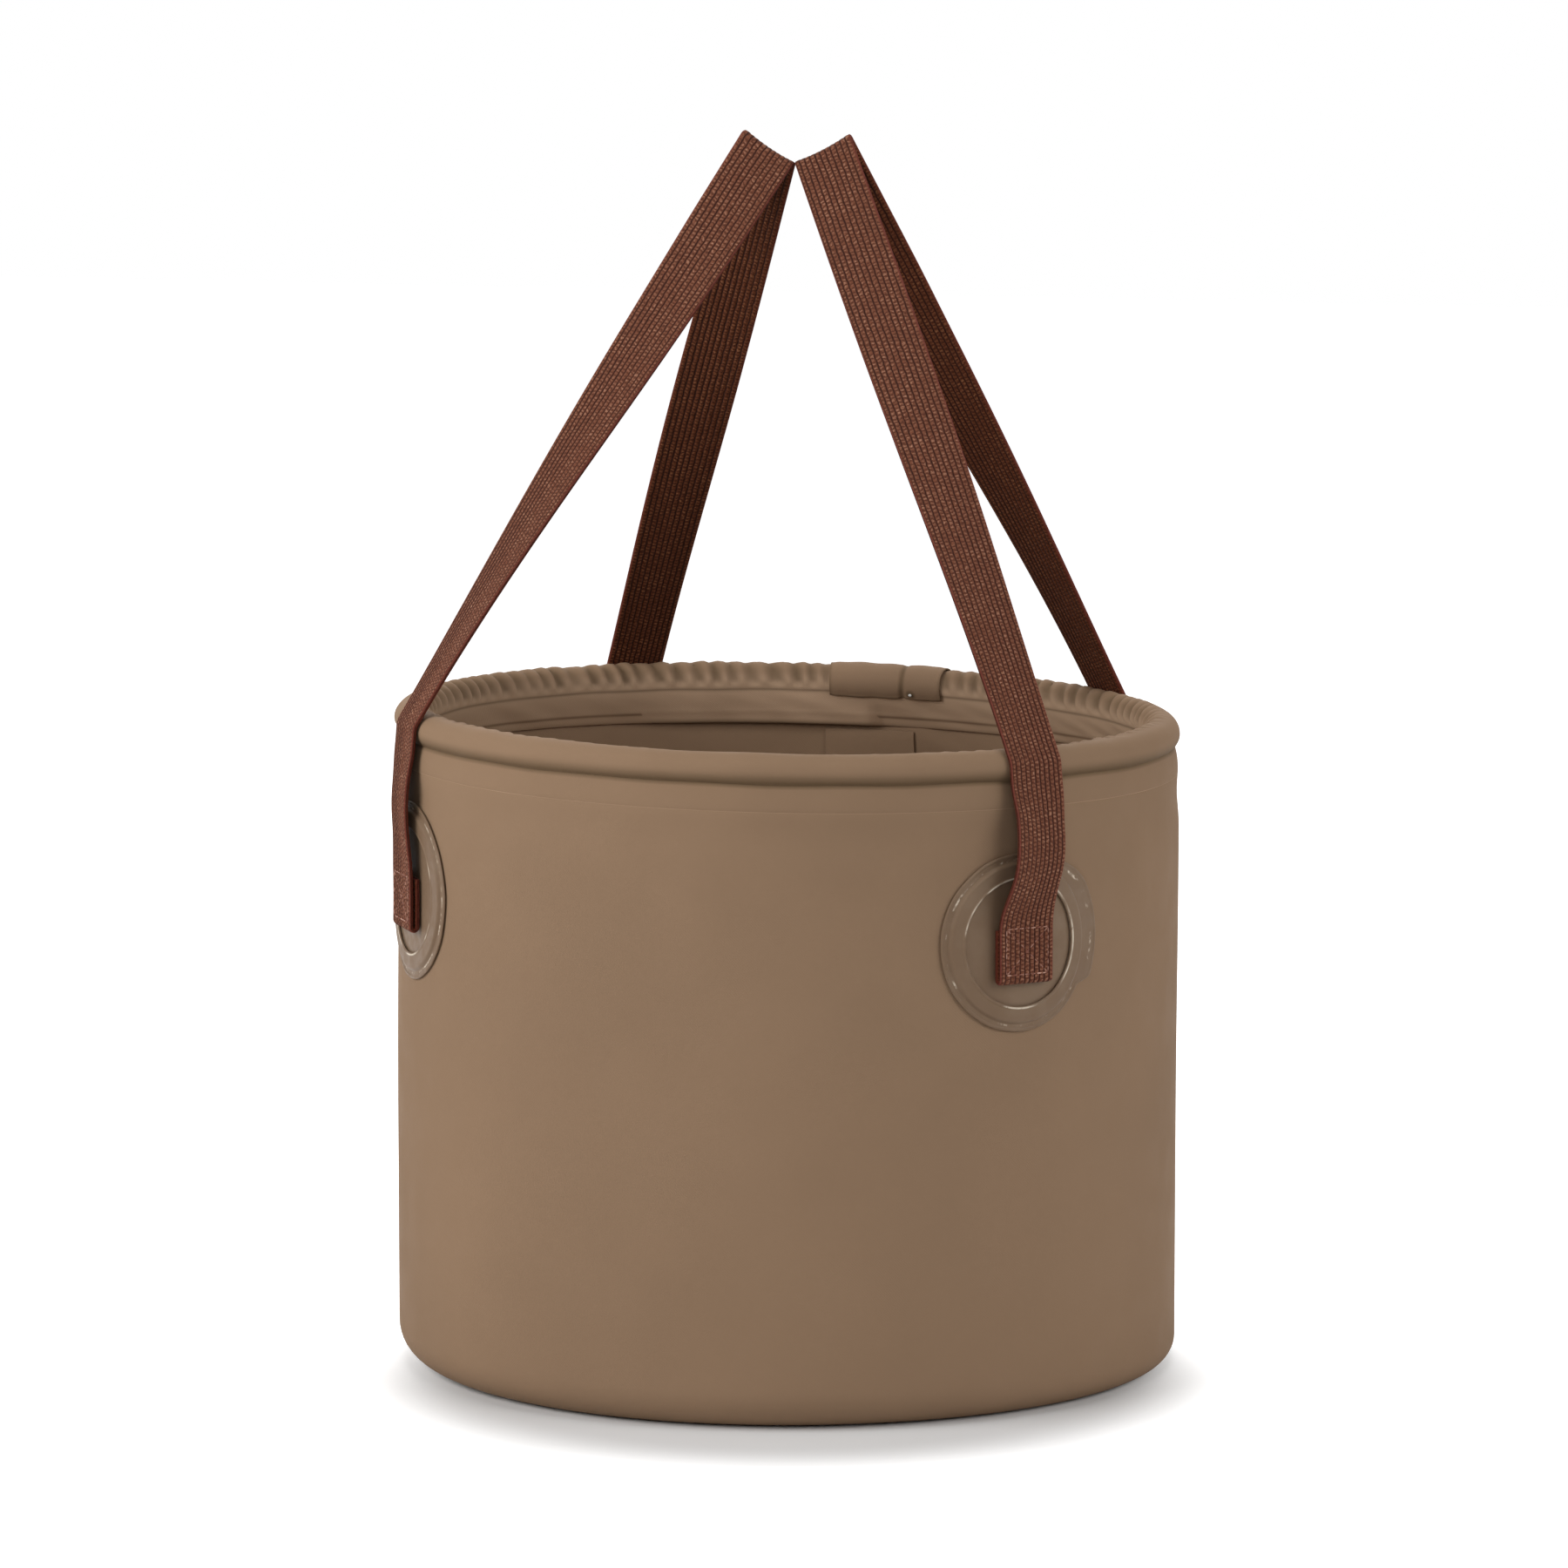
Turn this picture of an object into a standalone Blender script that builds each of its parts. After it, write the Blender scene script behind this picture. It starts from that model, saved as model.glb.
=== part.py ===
"""Collapsible camp bucket of welded coated fabric, with a hooped rim and two webbing handles.

Metres, +Z up. The origin is the middle of the bottom, on the floor. +X points to the right
handle and +Y to the wall's seam, so the front of the bucket faces -Y.
"""

import math

import bmesh
import bpy
from mathutils import Matrix, Vector

# Bucket body
BODY_RADIUS = 0.155
BUCKET_HEIGHT = 0.260
FABRIC = 0.001
GAP = 0.0003
CORNER_RADIUS = 0.015
WALL_FLANGE = 0.012
BASE_LAP = 0.003
BASE_UPSTAND = 0.028
SEAM_TAPE = 0.0006
SEAM_TAPE_WIDTH = 0.038

# Rim: a plastic hoop in a fabric sleeve, which is welded shut just under the hoop
HOOP_DIAMETER = 0.011
HOOP_WALL = 0.0018
HOOP_END_GAP = 0.0006
JOINER_LENGTH = 0.050
HEM_DEPTH = 0.022
FLAP_OVERLAP = 0.005
HEM_LAP = 0.0006
HEM_LAP_WIDTH = 0.042

# Welded patches that hold the handles: a disc, and a ring that laps over it onto the wall
PATCH_WINDOW = 0.050
PATCH_LAP = 0.005
PATCH_STEP = 0.0015
PATCH_WELD = 0.0032
PATCH_FILM = 0.0008
PATCH_DROP = 0.0754

# Handles of woven webbing
WEB_WIDTH = 0.025
WEB_THICK = 0.0018
WEB_EDGE = 0.0005
STITCH_LENGTH = 0.020
STITCH_DROP = 0.0046
GRIP_RISE = 0.2225
FOLD_RADIUS = 0.0016

# Angles in degrees: places round the wall are counted from the front, towards +X
FRONT_PATCH = 54
BACK_PATCH = 139
SEAM_TAPE_PLACE = 183.6
HEM_LAP_PLACE = 177.5
SLEEVE_START = -50
SLEEVE_END = 275
HEM_LAP_START = -35
HEM_LAP_END = 212

# Counts of flat faces, and of rounds that settle the handles against each other
TURN_STEPS = 60
SHORT_TURN_STEPS = 5
HOOP_SIDES = 8
SLEEVE_STEPS = 13
CORNER_STEPS = 5
PATCH_TURN_STEPS = 28
LEG_STEPS = 14
BEND_STEPS = 4
SETTLE_ROUNDS = 8

# Sizes that follow from the ones above
HALF_FABRIC = FABRIC / 2
WALL_MID = BODY_RADIUS - HALF_FABRIC
WALL_TOP = BUCKET_HEIGHT - HEM_DEPTH
LINER_MID = WALL_MID - FABRIC - GAP
BEAD_MID = HOOP_DIAMETER / 2 + GAP + HALF_FABRIC
BEAD_OUTER = BEAD_MID + HALF_FABRIC
HOOP_CENTRE = (BODY_RADIUS - BEAD_OUTER, BUCKET_HEIGHT - BEAD_OUTER)
CORNER_CENTRE = (BODY_RADIUS - CORNER_RADIUS, CORNER_RADIUS)
PATCH_BACKING = PATCH_WINDOW + 2 * PATCH_LAP
PATCH_DIAMETER = PATCH_BACKING + 2 * (GAP + PATCH_STEP + PATCH_WELD)
PATCH_HEIGHT = BUCKET_HEIGHT - PATCH_DROP
STITCH_TOP = PATCH_HEIGHT - STITCH_DROP + STITCH_LENGTH / 2
STITCH_BOTTOM = STITCH_TOP - STITCH_LENGTH
GRIP_HEIGHT = BUCKET_HEIGHT + GRIP_RISE
TAB_INNER_MID = BODY_RADIUS + GAP + PATCH_FILM + GAP + WEB_THICK / 2
TAB_OUTER_MID = TAB_INNER_MID + WEB_THICK + GAP
MERGE = 1e-6


def clear_scene():
    """Remove whatever the scene holds."""
    for item in list(bpy.data.objects):
        bpy.data.objects.remove(item, do_unlink=True)


def finish(name, color, roughness):
    """Make a Principled material for cloth or plastic."""
    made = bpy.data.materials.new(name)
    made.use_nodes = True
    shader = made.node_tree.nodes["Principled BSDF"]
    shader.inputs["Base Color"].default_value = (*color, 1.0)
    shader.inputs["Roughness"].default_value = roughness
    shader.inputs["Metallic"].default_value = 0.0
    return made


def axis_empty(name, place):
    """Put an empty on a joint's axis, to carry the pieces that move there."""
    empty = bpy.data.objects.new(name, None)
    empty.location = place
    bpy.context.collection.objects.link(empty)
    return empty


def hang(piece, empty):
    """Make the empty's place the piece's origin, with the piece's shape left where it is."""
    piece.data.transform(Matrix.Translation(-empty.location))
    piece.parent = empty


def solid(name, rings, material, closed):
    """Skin rings of equal count into one body, capped at both ends unless the rings close."""
    mesh = bmesh.new()
    loops = [[mesh.verts.new(point) for point in ring] for ring in rings]
    count = len(loops[0])
    pairs = list(zip(loops, loops[1:]))
    if closed:
        pairs.append((loops[-1], loops[0]))
    else:
        mesh.faces.new(loops[0])
        mesh.faces.new(loops[-1])
    for first, second in pairs:
        for i in range(count):
            j = (i + 1) % count
            mesh.faces.new((first[i], first[j], second[j], second[i]))
    bmesh.ops.remove_doubles(mesh, verts=mesh.verts, dist=MERGE)
    bmesh.ops.recalc_face_normals(mesh, faces=mesh.faces)
    data = bpy.data.meshes.new(name)
    mesh.to_mesh(data)
    mesh.free()
    data.shade_smooth()
    data.set_sharp_from_angle(angle=math.radians(35))
    data.materials.append(material)
    piece = bpy.data.objects.new(name, data)
    bpy.context.collection.objects.link(piece)
    return piece


def arc(centre, radius, start, end, steps):
    """Points on a flat arc from one angle in degrees to another."""
    angles = [math.radians(start + (end - start) * i / steps) for i in range(steps + 1)]
    return [(centre[0] + radius * math.cos(a), centre[1] + radius * math.sin(a)) for a in angles]


def round_outline(centre, radius, sides):
    """A closed outline of equal flats."""
    return arc(centre, radius, 0, 360, sides)[:-1]


def sheet_outline(path, thickness):
    """The outline of a sheet whose middle follows the path, mitred at each bend."""
    points = [Vector(point) for point in path]
    runs = [(b - a).normalized() for a, b in zip(points, points[1:])]
    left, right = [], []
    for point, before, after in zip(points, runs[:1] + runs, runs + runs[-1:]):
        square = Vector((-before.y, before.x))
        mitre = (square + Vector((-after.y, after.x))).normalized()
        reach = mitre * (thickness / 2 / mitre.dot(square))
        left.append(point + reach)
        right.append(point - reach)
    return left + right[::-1]


def outward(place):
    """The level direction away from the axis at a place round the wall, in degrees."""
    return Vector((math.sin(math.radians(place)), -math.cos(math.radians(place)), 0))


def along(place):
    """The level direction along the wall at that place, square to the outward one."""
    return Vector((math.cos(math.radians(place)), math.sin(math.radians(place)), 0))


def upright(place, outline):
    """Stand an outline of radius and height in the upright plane at a place round the wall."""
    return [outward(place) * radius + Vector((0, 0, height)) for radius, height in outline]


def turned(name, outline, material):
    """Turn an outline of radius and height all the way round."""
    rings = [upright(360 * i / TURN_STEPS, outline) for i in range(TURN_STEPS)]
    return solid(name, rings, material, True)


def part_turned_rings(outline, place, sweep, steps):
    """Rings of an outline turned through an angle that is centred on a place."""
    return [upright(place + sweep * (i / steps - 1 / 2), outline) for i in range(steps + 1)]


def base_panel(material):
    """The bottom: flat in the middle, lapped over the wall's flange and turned up inside it."""
    flange_edge = CORNER_CENTRE[0] - WALL_FLANGE
    lapped = FABRIC + GAP + HALF_FABRIC
    path = [
        (0, HALF_FABRIC),
        (flange_edge - BASE_LAP - FABRIC, HALF_FABRIC),
        (flange_edge - FABRIC, lapped),
        *arc(CORNER_CENTRE, CORNER_RADIUS - lapped, -90, 0, CORNER_STEPS),
        (LINER_MID, BASE_UPSTAND),
    ]
    return turned("base_panel", sheet_outline(path, FABRIC), material)


def side_wall(material):
    """The wall, whose rounded bottom edge runs in under the base as a welded flange."""
    path = [
        (CORNER_CENTRE[0] - WALL_FLANGE, HALF_FABRIC),
        *arc(CORNER_CENTRE, CORNER_RADIUS - HALF_FABRIC, -90, 0, CORNER_STEPS),
        (WALL_MID, WALL_TOP),
    ]
    return turned("side_wall", sheet_outline(path, FABRIC), material)


def seam_tape(material):
    """The strip welded inside the wall over its upright seam, from the base to the hem."""
    middle = BODY_RADIUS - FABRIC - GAP - SEAM_TAPE / 2
    path = [(middle, BASE_UPSTAND + GAP), (middle, WALL_TOP - FLAP_OVERLAP - GAP)]
    sweep = math.degrees(SEAM_TAPE_WIDTH / middle)
    outline = sheet_outline(path, SEAM_TAPE)
    rings = part_turned_rings(outline, SEAM_TAPE_PLACE, sweep, SHORT_TURN_STEPS)
    return solid("seam_tape", rings, material, False)


def rim_hoop(material):
    """The springy tube that holds the mouth open, cut once at the back."""
    sweep = 360 - math.degrees(HOOP_END_GAP / HOOP_CENTRE[0])
    outside = round_outline(HOOP_CENTRE, HOOP_DIAMETER / 2, HOOP_SIDES)
    bore = round_outline(HOOP_CENTRE, HOOP_DIAMETER / 2 - HOOP_WALL, HOOP_SIDES)
    outer_rings = part_turned_rings(outside, 0, sweep, TURN_STEPS)
    bore_rings = part_turned_rings(bore, 0, sweep, TURN_STEPS)
    return solid("rim_hoop", outer_rings + bore_rings[::-1], material, True)


def hoop_joiner(material):
    """The plug pushed into both ends of the hoop, bent to the hoop's curve."""
    outline = round_outline(HOOP_CENTRE, HOOP_DIAMETER / 2 - HOOP_WALL - GAP, HOOP_SIDES)
    sweep = math.degrees(JOINER_LENGTH / HOOP_CENTRE[0])
    steps = 2 * math.ceil(sweep / 2 / (360 / TURN_STEPS))
    rings = part_turned_rings(outline, 180, sweep, steps)
    return solid("hoop_joiner", rings, material, False)


def rim_hem(material):
    """The sleeve: up outside the hoop, over it, back under it and down inside the wall."""
    path = [
        (WALL_MID, WALL_TOP + GAP),
        *arc(HOOP_CENTRE, BEAD_MID, SLEEVE_START, SLEEVE_END, SLEEVE_STEPS),
        (LINER_MID, WALL_TOP),
        (LINER_MID, WALL_TOP - FLAP_OVERLAP),
    ]
    return turned("rim_hem", sheet_outline(path, FABRIC), material)


def hem_lap(material):
    """The piece of fabric that covers the joint of the sleeve at the back."""
    path = arc(HOOP_CENTRE, BEAD_OUTER + GAP + HEM_LAP / 2, HEM_LAP_START, HEM_LAP_END,
               SLEEVE_STEPS)
    sweep = math.degrees(HEM_LAP_WIDTH / HOOP_CENTRE[0])
    outline = sheet_outline(path, HEM_LAP)
    rings = part_turned_rings(outline, HEM_LAP_PLACE, sweep, SHORT_TURN_STEPS)
    return solid("hem_lap", rings, material, False)


def round_patch(name, outline, place, material):
    """Turn an outline of reach and stand-off about a patch's middle, laid on the round wall."""
    rings = []
    for i in range(PATCH_TURN_STEPS):
        turn = 2 * math.pi * i / PATCH_TURN_STEPS
        ring = []
        for reach, stand_off in outline:
            side = math.degrees(reach * math.sin(turn) / BODY_RADIUS)
            height = PATCH_HEIGHT + reach * math.cos(turn)
            ring += upright(place + side, [(BODY_RADIUS + stand_off, height)])
        rings.append(ring)
    return solid(name, rings, material, True)


def patch_backing(name, place, material):
    """The disc that the webbing is stitched to before it is welded on the wall."""
    edge, middle = PATCH_BACKING / 2, GAP + PATCH_FILM / 2
    path = [(0, middle), (edge / 2, middle), (edge, middle)]
    return round_patch(name, sheet_outline(path, PATCH_FILM), place, material)


def patch_ring(name, place, material):
    """The ring welded over the disc's edge, which steps down to the wall outside the disc."""
    low = GAP + PATCH_FILM / 2
    high = low + PATCH_FILM + GAP
    shoulder = PATCH_BACKING / 2 + GAP
    path = [
        (PATCH_WINDOW / 2, high),
        (shoulder, high),
        (shoulder + PATCH_STEP, low),
        (PATCH_DIAMETER / 2, low),
    ]
    return round_patch(name, sheet_outline(path, PATCH_FILM), place, material)


def strap_end(name, place, material):
    """The end of the webbing, folded double towards the wall and stitched to the disc."""
    bend = (TAB_OUTER_MID - TAB_INNER_MID) / 2
    path = [
        (TAB_INNER_MID, STITCH_TOP),
        *arc((TAB_INNER_MID + bend, STITCH_BOTTOM + bend), bend, 180, 360, BEND_STEPS),
        (TAB_OUTER_MID, STITCH_TOP),
    ]
    outline = upright(place, sheet_outline(path, WEB_THICK))
    half = along(place) * (WEB_WIDTH / 2)
    rings = [[point + side * half for point in outline] for side in (-1, 1)]
    return solid(name, rings, material, False)


def bead_angle(point, reach, side):
    """Where a line from a point of radius and height touches a circle round the bead."""
    run, rise = point[0] - HOOP_CENTRE[0], point[1] - HOOP_CENTRE[1]
    return math.degrees(math.atan2(rise, run) + side * math.acos(reach / math.hypot(run, rise)))


def rim_stretch(place, grip):
    """The webbing's middle from the stitching up the wall and over the bead, towards the grip."""
    reach = BEAD_OUTER + GAP + WEB_THICK / 2
    top_of_patch = (TAB_OUTER_MID, PATCH_HEIGHT + PATCH_DIAMETER / 2)
    start = bead_angle(top_of_patch, reach, 1)
    end = bead_angle((grip.dot(outward(place)), grip.z), reach, -1)
    flat = [
        (TAB_OUTER_MID, STITCH_TOP + GAP),
        top_of_patch,
        *arc(HOOP_CENTRE, reach, start, end, BEND_STEPS),
    ]
    return upright(place, flat)


def grip_corner():
    """Where the middles of the right handle's two legs would meet, and the fold's direction.

    The fold lies square to both legs. Its inner end stands half a gap from the other handle's.
    """
    corner, fold = Vector((0, 0, GRIP_HEIGHT)), Vector()
    for _ in range(SETTLE_ROUNDS):
        front, back = (rim_stretch(place, corner)[-1] for place in (FRONT_PATCH, BACK_PATCH))
        fold = (corner - front).cross(corner - back).normalized()
        top = fold_arc(corner, front, back)[BEND_STEPS]
        corner.x += (GAP + WEB_WIDTH * fold.x + WEB_THICK * fold.z) / 2 - top.x
    return corner, fold


def fold_arc(corner, front, back):
    """Points of the small bend that replaces the corner between two legs."""
    down = [(end - corner).normalized() for end in (front, back)]
    half = down[0].angle(down[1]) / 2
    middle = (down[0] + down[1]).normalized()
    centre = corner + middle * (FOLD_RADIUS / math.sin(half))
    square = (down[0] - down[1]).normalized()
    sweep = math.pi / 2 - half
    turns = [sweep * (1 - i / BEND_STEPS) for i in range(2 * BEND_STEPS + 1)]
    return [centre + FOLD_RADIUS * (square * math.sin(a) - middle * math.cos(a)) for a in turns]


def leg(place, side, corner, fold, top):
    """One leg from the stitching to the fold: each point with the webbing's width direction.

    Above the rim the webbing twists from lying along the bead to lying along the fold.
    """
    level = side * along(place)
    rim = rim_stretch(place, corner)
    run = (top - rim[-1]).normalized()
    flat = (level - run * level.dot(run)).normalized()
    twist = math.atan2(flat.cross(fold).dot(run), flat.dot(fold))
    points = [(point, level) for point in rim[:-1]]
    for i in range(LEG_STEPS):
        share = i / LEG_STEPS
        turn = twist * share * share * (3 - 2 * share)
        width = flat * math.cos(turn) + run.cross(flat) * math.sin(turn)
        points.append((rim[-1].lerp(top, share), width))
    return points


def handle(name, side, material):
    """A loop of webbing, folded sharply at the top where a hand lifts it."""
    corner, fold = grip_corner()
    ends = [rim_stretch(place, corner)[-1] for place in (FRONT_PATCH, BACK_PATCH)]
    bend = fold_arc(corner, *ends)
    front = leg(FRONT_PATCH, 1, corner, fold, bend[0])
    back = leg(BACK_PATCH, -1, corner, fold, bend[-1])
    points = front + [(point, fold) for point in bend] + back[::-1]
    half, thick = WEB_WIDTH / 2, WEB_THICK / 2
    edge = [(half - WEB_EDGE, thick), (half, thick - WEB_EDGE),
            (half, WEB_EDGE - thick), (half - WEB_EDGE, -thick)]
    section = edge + [(-across, out) for across, out in edge[::-1]]
    mirror = Matrix.Diagonal((side, 1, 1))
    rings = []
    for i, (point, width) in enumerate(points):
        run = points[min(i + 1, len(points) - 1)][0] - points[max(i - 1, 0)][0]
        face = width.cross(run).normalized()
        rings.append([mirror @ (point + width * across + face * out) for across, out in section])
    return solid(name, rings, material, False)


def handle_axis(side):
    """The middle of the line that a handle turns on: along the outer corners of its stitching."""
    half = math.radians(BACK_PATCH - FRONT_PATCH) / 2
    middle = outward((FRONT_PATCH + BACK_PATCH) / 2)
    reach = (TAB_OUTER_MID + WEB_THICK / 2) * math.cos(half) + WEB_WIDTH / 2 * math.sin(half)
    return Vector((side * middle.x * reach, middle.y * reach, STITCH_TOP))


def build():
    """Make every piece and hang the moving ones on their axes."""
    clear_scene()
    coated = finish("coated fabric", (0.275, 0.181, 0.110), 0.5)
    film = finish("welded patch film", (0.302, 0.211, 0.142), 0.35)
    webbing = finish("woven webbing", (0.151, 0.052, 0.032), 0.8)
    plastic = finish("hoop plastic", (0.62, 0.60, 0.56), 0.45)

    base_panel(coated)
    side_wall(coated)
    seam_tape(coated)

    rim = axis_empty("rim_slide", (0, 0, HOOP_CENTRE[1]))
    for piece in (rim_hoop(plastic), hoop_joiner(plastic), rim_hem(coated), hem_lap(coated)):
        hang(piece, rim)

    anchors = axis_empty("anchor_slide", (0, 0, PATCH_HEIGHT))
    places = {
        "front_right": FRONT_PATCH,
        "back_right": BACK_PATCH,
        "back_left": -BACK_PATCH,
        "front_left": -FRONT_PATCH,
    }
    for corner, place in places.items():
        hang(patch_backing(f"patch_backing_{corner}", place, film), anchors)
        hang(patch_ring(f"patch_ring_{corner}", place, film), anchors)
        hang(strap_end(f"strap_end_{corner}", place, webbing), anchors)

    for label, side in (("right", 1), ("left", -1)):
        axis = axis_empty(f"{label}_handle_axis", handle_axis(side))
        hang(handle(f"{label}_handle", side, webbing), axis)


build()
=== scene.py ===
"""Looks of the collapsible camp bucket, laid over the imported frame.

Metres, +Z up. The origin is the middle of the underside, +X points to the right handle and +Y
to the upright seam at the back. A place round the wall is an angle in degrees, counted from the
front, which is -Y, towards +X. Around the hoop an angle of 0 points outwards and 90 up.
"""

import logging
import math
from dataclasses import dataclass
from enum import Enum

import bpy
import numpy as np
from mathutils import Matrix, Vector


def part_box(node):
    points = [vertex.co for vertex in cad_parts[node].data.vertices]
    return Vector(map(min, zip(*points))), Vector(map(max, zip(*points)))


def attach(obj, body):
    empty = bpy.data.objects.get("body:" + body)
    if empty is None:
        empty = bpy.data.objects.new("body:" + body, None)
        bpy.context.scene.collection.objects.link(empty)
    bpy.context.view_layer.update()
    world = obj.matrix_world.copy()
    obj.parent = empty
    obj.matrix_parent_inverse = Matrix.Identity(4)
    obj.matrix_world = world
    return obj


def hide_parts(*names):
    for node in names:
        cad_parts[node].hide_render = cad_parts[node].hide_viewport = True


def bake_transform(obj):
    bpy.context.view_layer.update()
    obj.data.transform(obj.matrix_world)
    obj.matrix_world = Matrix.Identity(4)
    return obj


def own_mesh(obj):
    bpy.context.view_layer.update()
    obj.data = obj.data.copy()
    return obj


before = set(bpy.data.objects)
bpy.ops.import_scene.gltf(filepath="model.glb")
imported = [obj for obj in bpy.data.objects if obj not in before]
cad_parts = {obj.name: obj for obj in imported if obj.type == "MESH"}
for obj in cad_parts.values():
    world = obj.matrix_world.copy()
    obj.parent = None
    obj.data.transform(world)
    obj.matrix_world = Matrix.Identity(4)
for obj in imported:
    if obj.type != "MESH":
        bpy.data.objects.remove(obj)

LOG = logging.getLogger("bucket")
TAU = 2 * math.pi
EDGE_STEPS = 3  # points on each half round of a sheet's edge
SHARP = math.radians(60)  # faces that meet at more than this keep a sharp edge
MAP = "Pattern"  # the pieces' own map, in metres

Array = np.ndarray
Object = bpy.types.Object
Material = bpy.types.Material


@dataclass(frozen=True)
class Seat:
    """How one patch and its strap sit on this bucket, off the even places of the solids.

    The turn is in degrees towards the side, the drift is what the strap gains on its way up to
    the rim, the lift and the slack are in metres, and the slack is how far the strap stands off.
    The tip is how many degrees the strap's front edge swings out between patch and rim.
    """

    turn: float = 0.0
    drift: float = 0.0
    lift: float = 0.0
    slack: float = 0.0025
    tip: float = 0.0


class Side(Enum):
    """The two handles, with the sign of their X."""

    RIGHT = 1
    LEFT = -1


class Corner(Enum):
    """The four welded patches, with their even places round the wall in degrees."""

    FRONT_RIGHT = 54
    BACK_RIGHT = 139
    BACK_LEFT = -139
    FRONT_LEFT = -54

    @property
    def label(self) -> str:
        """The corner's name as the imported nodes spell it."""
        return self.name.lower()

    @property
    def seat(self) -> Seat:
        """How the corner's patch and strap sit."""
        return SEATS[self]

    @property
    def place(self) -> float:
        """Place in degrees of the corner's patch, with its seat's turn."""
        return math.copysign(abs(self.value) + self.seat.turn, self.value)


SEATS = {Corner.FRONT_RIGHT: Seat(turn=-2.5, drift=2.6, lift=0.002, slack=0.0052, tip=8.5),
         Corner.FRONT_LEFT: Seat(turn=0.4, drift=1.0, lift=0.0065, slack=0.0003, tip=3.5),
         Corner.BACK_RIGHT: Seat(), Corner.BACK_LEFT: Seat()}


class Slot(Enum):
    """Material slots of the record."""

    CLOTH = "coated_fabric"
    FILM = "patch_film"
    WEBBING = "webbing"
    PLASTIC = "hoop_plastic"


# Array maths shared by the pieces


def smooth_step(low: float, high: float, value: Array) -> Array:
    """Ease from 0 at low to 1 at high: the cubic 3s^2 - 2s^3 of the clamped share s."""
    share = np.clip((np.asarray(value, float) - low) / (high - low), 0, 1)
    return share * share * (3 - 2 * share)


def hump(middle: float, reach: float, value: Array) -> Array:
    """A smooth hump, 1 at its middle and 0 from the reach on, to both sides."""
    return 1 - smooth_step(0, reach, np.abs(np.asarray(value, float) - middle))


def degrees_apart(place: Array, other: float) -> Array:
    """Signed angle in degrees from one place round the wall to others, from -180 to 180."""
    return (np.asarray(place, float) - other + 180) % 360 - 180


def all_round(columns: int) -> Array:
    """Evenly spaced places in degrees for a whole turn, without the closing one."""
    return np.arange(columns) * (360 / columns)


def pair(first: Array, second: Array) -> Array:
    """Two arrays, spread to one shape, as pairs along a new last axis."""
    return np.stack(np.broadcast_arrays(first, second), axis=-1)


def unit(vectors: Array) -> Array:
    """Vectors scaled to length 1 along their last axis."""
    return vectors / np.linalg.norm(vectors, axis=-1, keepdims=True)


def stand(radius: Array, height: Array, place: Array) -> Array:
    """Points of a radius and height, turned to their places in degrees: (r sin a, -r cos a, z).

    Args:
        radius: Distances from the bucket's axis.
        height: Heights over the floor.
        place: Places round the wall.

    Returns:
        Points, with X, Y and Z along the last axis.
    """
    radius, height, angle = np.broadcast_arrays(radius, height, np.radians(place))
    return np.stack([radius * np.sin(angle), -radius * np.cos(angle), height], axis=-1)


@dataclass(frozen=True)
class Wander:
    """A smooth random wave round the bucket, the same on each run.

    It is a sum of sines of whole numbers of waves per turn, so that it closes on itself.
    """

    seed: int
    fewest: int
    most: int

    def at(self, place: Array) -> Array:
        """Height of the wave at places in degrees.

        Args:
            place: Places round the wall.

        Returns:
            Values of about -1 to 1, in the shape of the places.
        """
        random = np.random.default_rng(self.seed)
        waves = np.arange(self.fewest, self.most + 1)
        sizes = random.uniform(0.4, 1.0, waves.size)
        starts = random.uniform(0, TAU, waves.size)
        angle = np.radians(np.asarray(place, float))[..., None] * waves + starts
        return (np.sin(angle) * sizes).sum(-1) / (1.6 * math.sqrt(waves.size))


def sheet_section(mid: Array, half: float) -> Array:
    """Closed outline of a sheet: its middle line moved out and in by half the thickness.

    Both free edges are half rounds. The outline runs up the outer face, round the far edge,
    back along the inner face and round the near edge.

    Args:
        mid: Middle line as radius and height, first axis along the line, last axis the pair.
        half: Half of the sheet's thickness.

    Returns:
        The outline's points, first axis round the outline.
    """
    run = unit(np.gradient(mid, axis=0))
    normal = pair(run[..., 1], -run[..., 0])
    turn = np.linspace(0, math.pi, EDGE_STEPS + 2)[1:-1].reshape((-1,) + (1,) * (mid.ndim - 1))
    far = mid[-1] + half * (normal[-1] * np.cos(turn) + run[-1] * np.sin(turn))
    near = mid[0] - half * (normal[0] * np.cos(turn) + run[0] * np.sin(turn))
    outer, inner = mid + half * normal, mid - half * normal
    return np.concatenate([outer, far, inner[::-1], near])


def lengths_along(points: Array) -> Array:
    """Distance run along the first axis of a line of points, from 0 at its first point."""
    steps = np.linalg.norm(np.diff(points, axis=0), axis=-1)
    return np.concatenate([np.zeros_like(steps[:1]), np.cumsum(steps, axis=0)])


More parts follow.
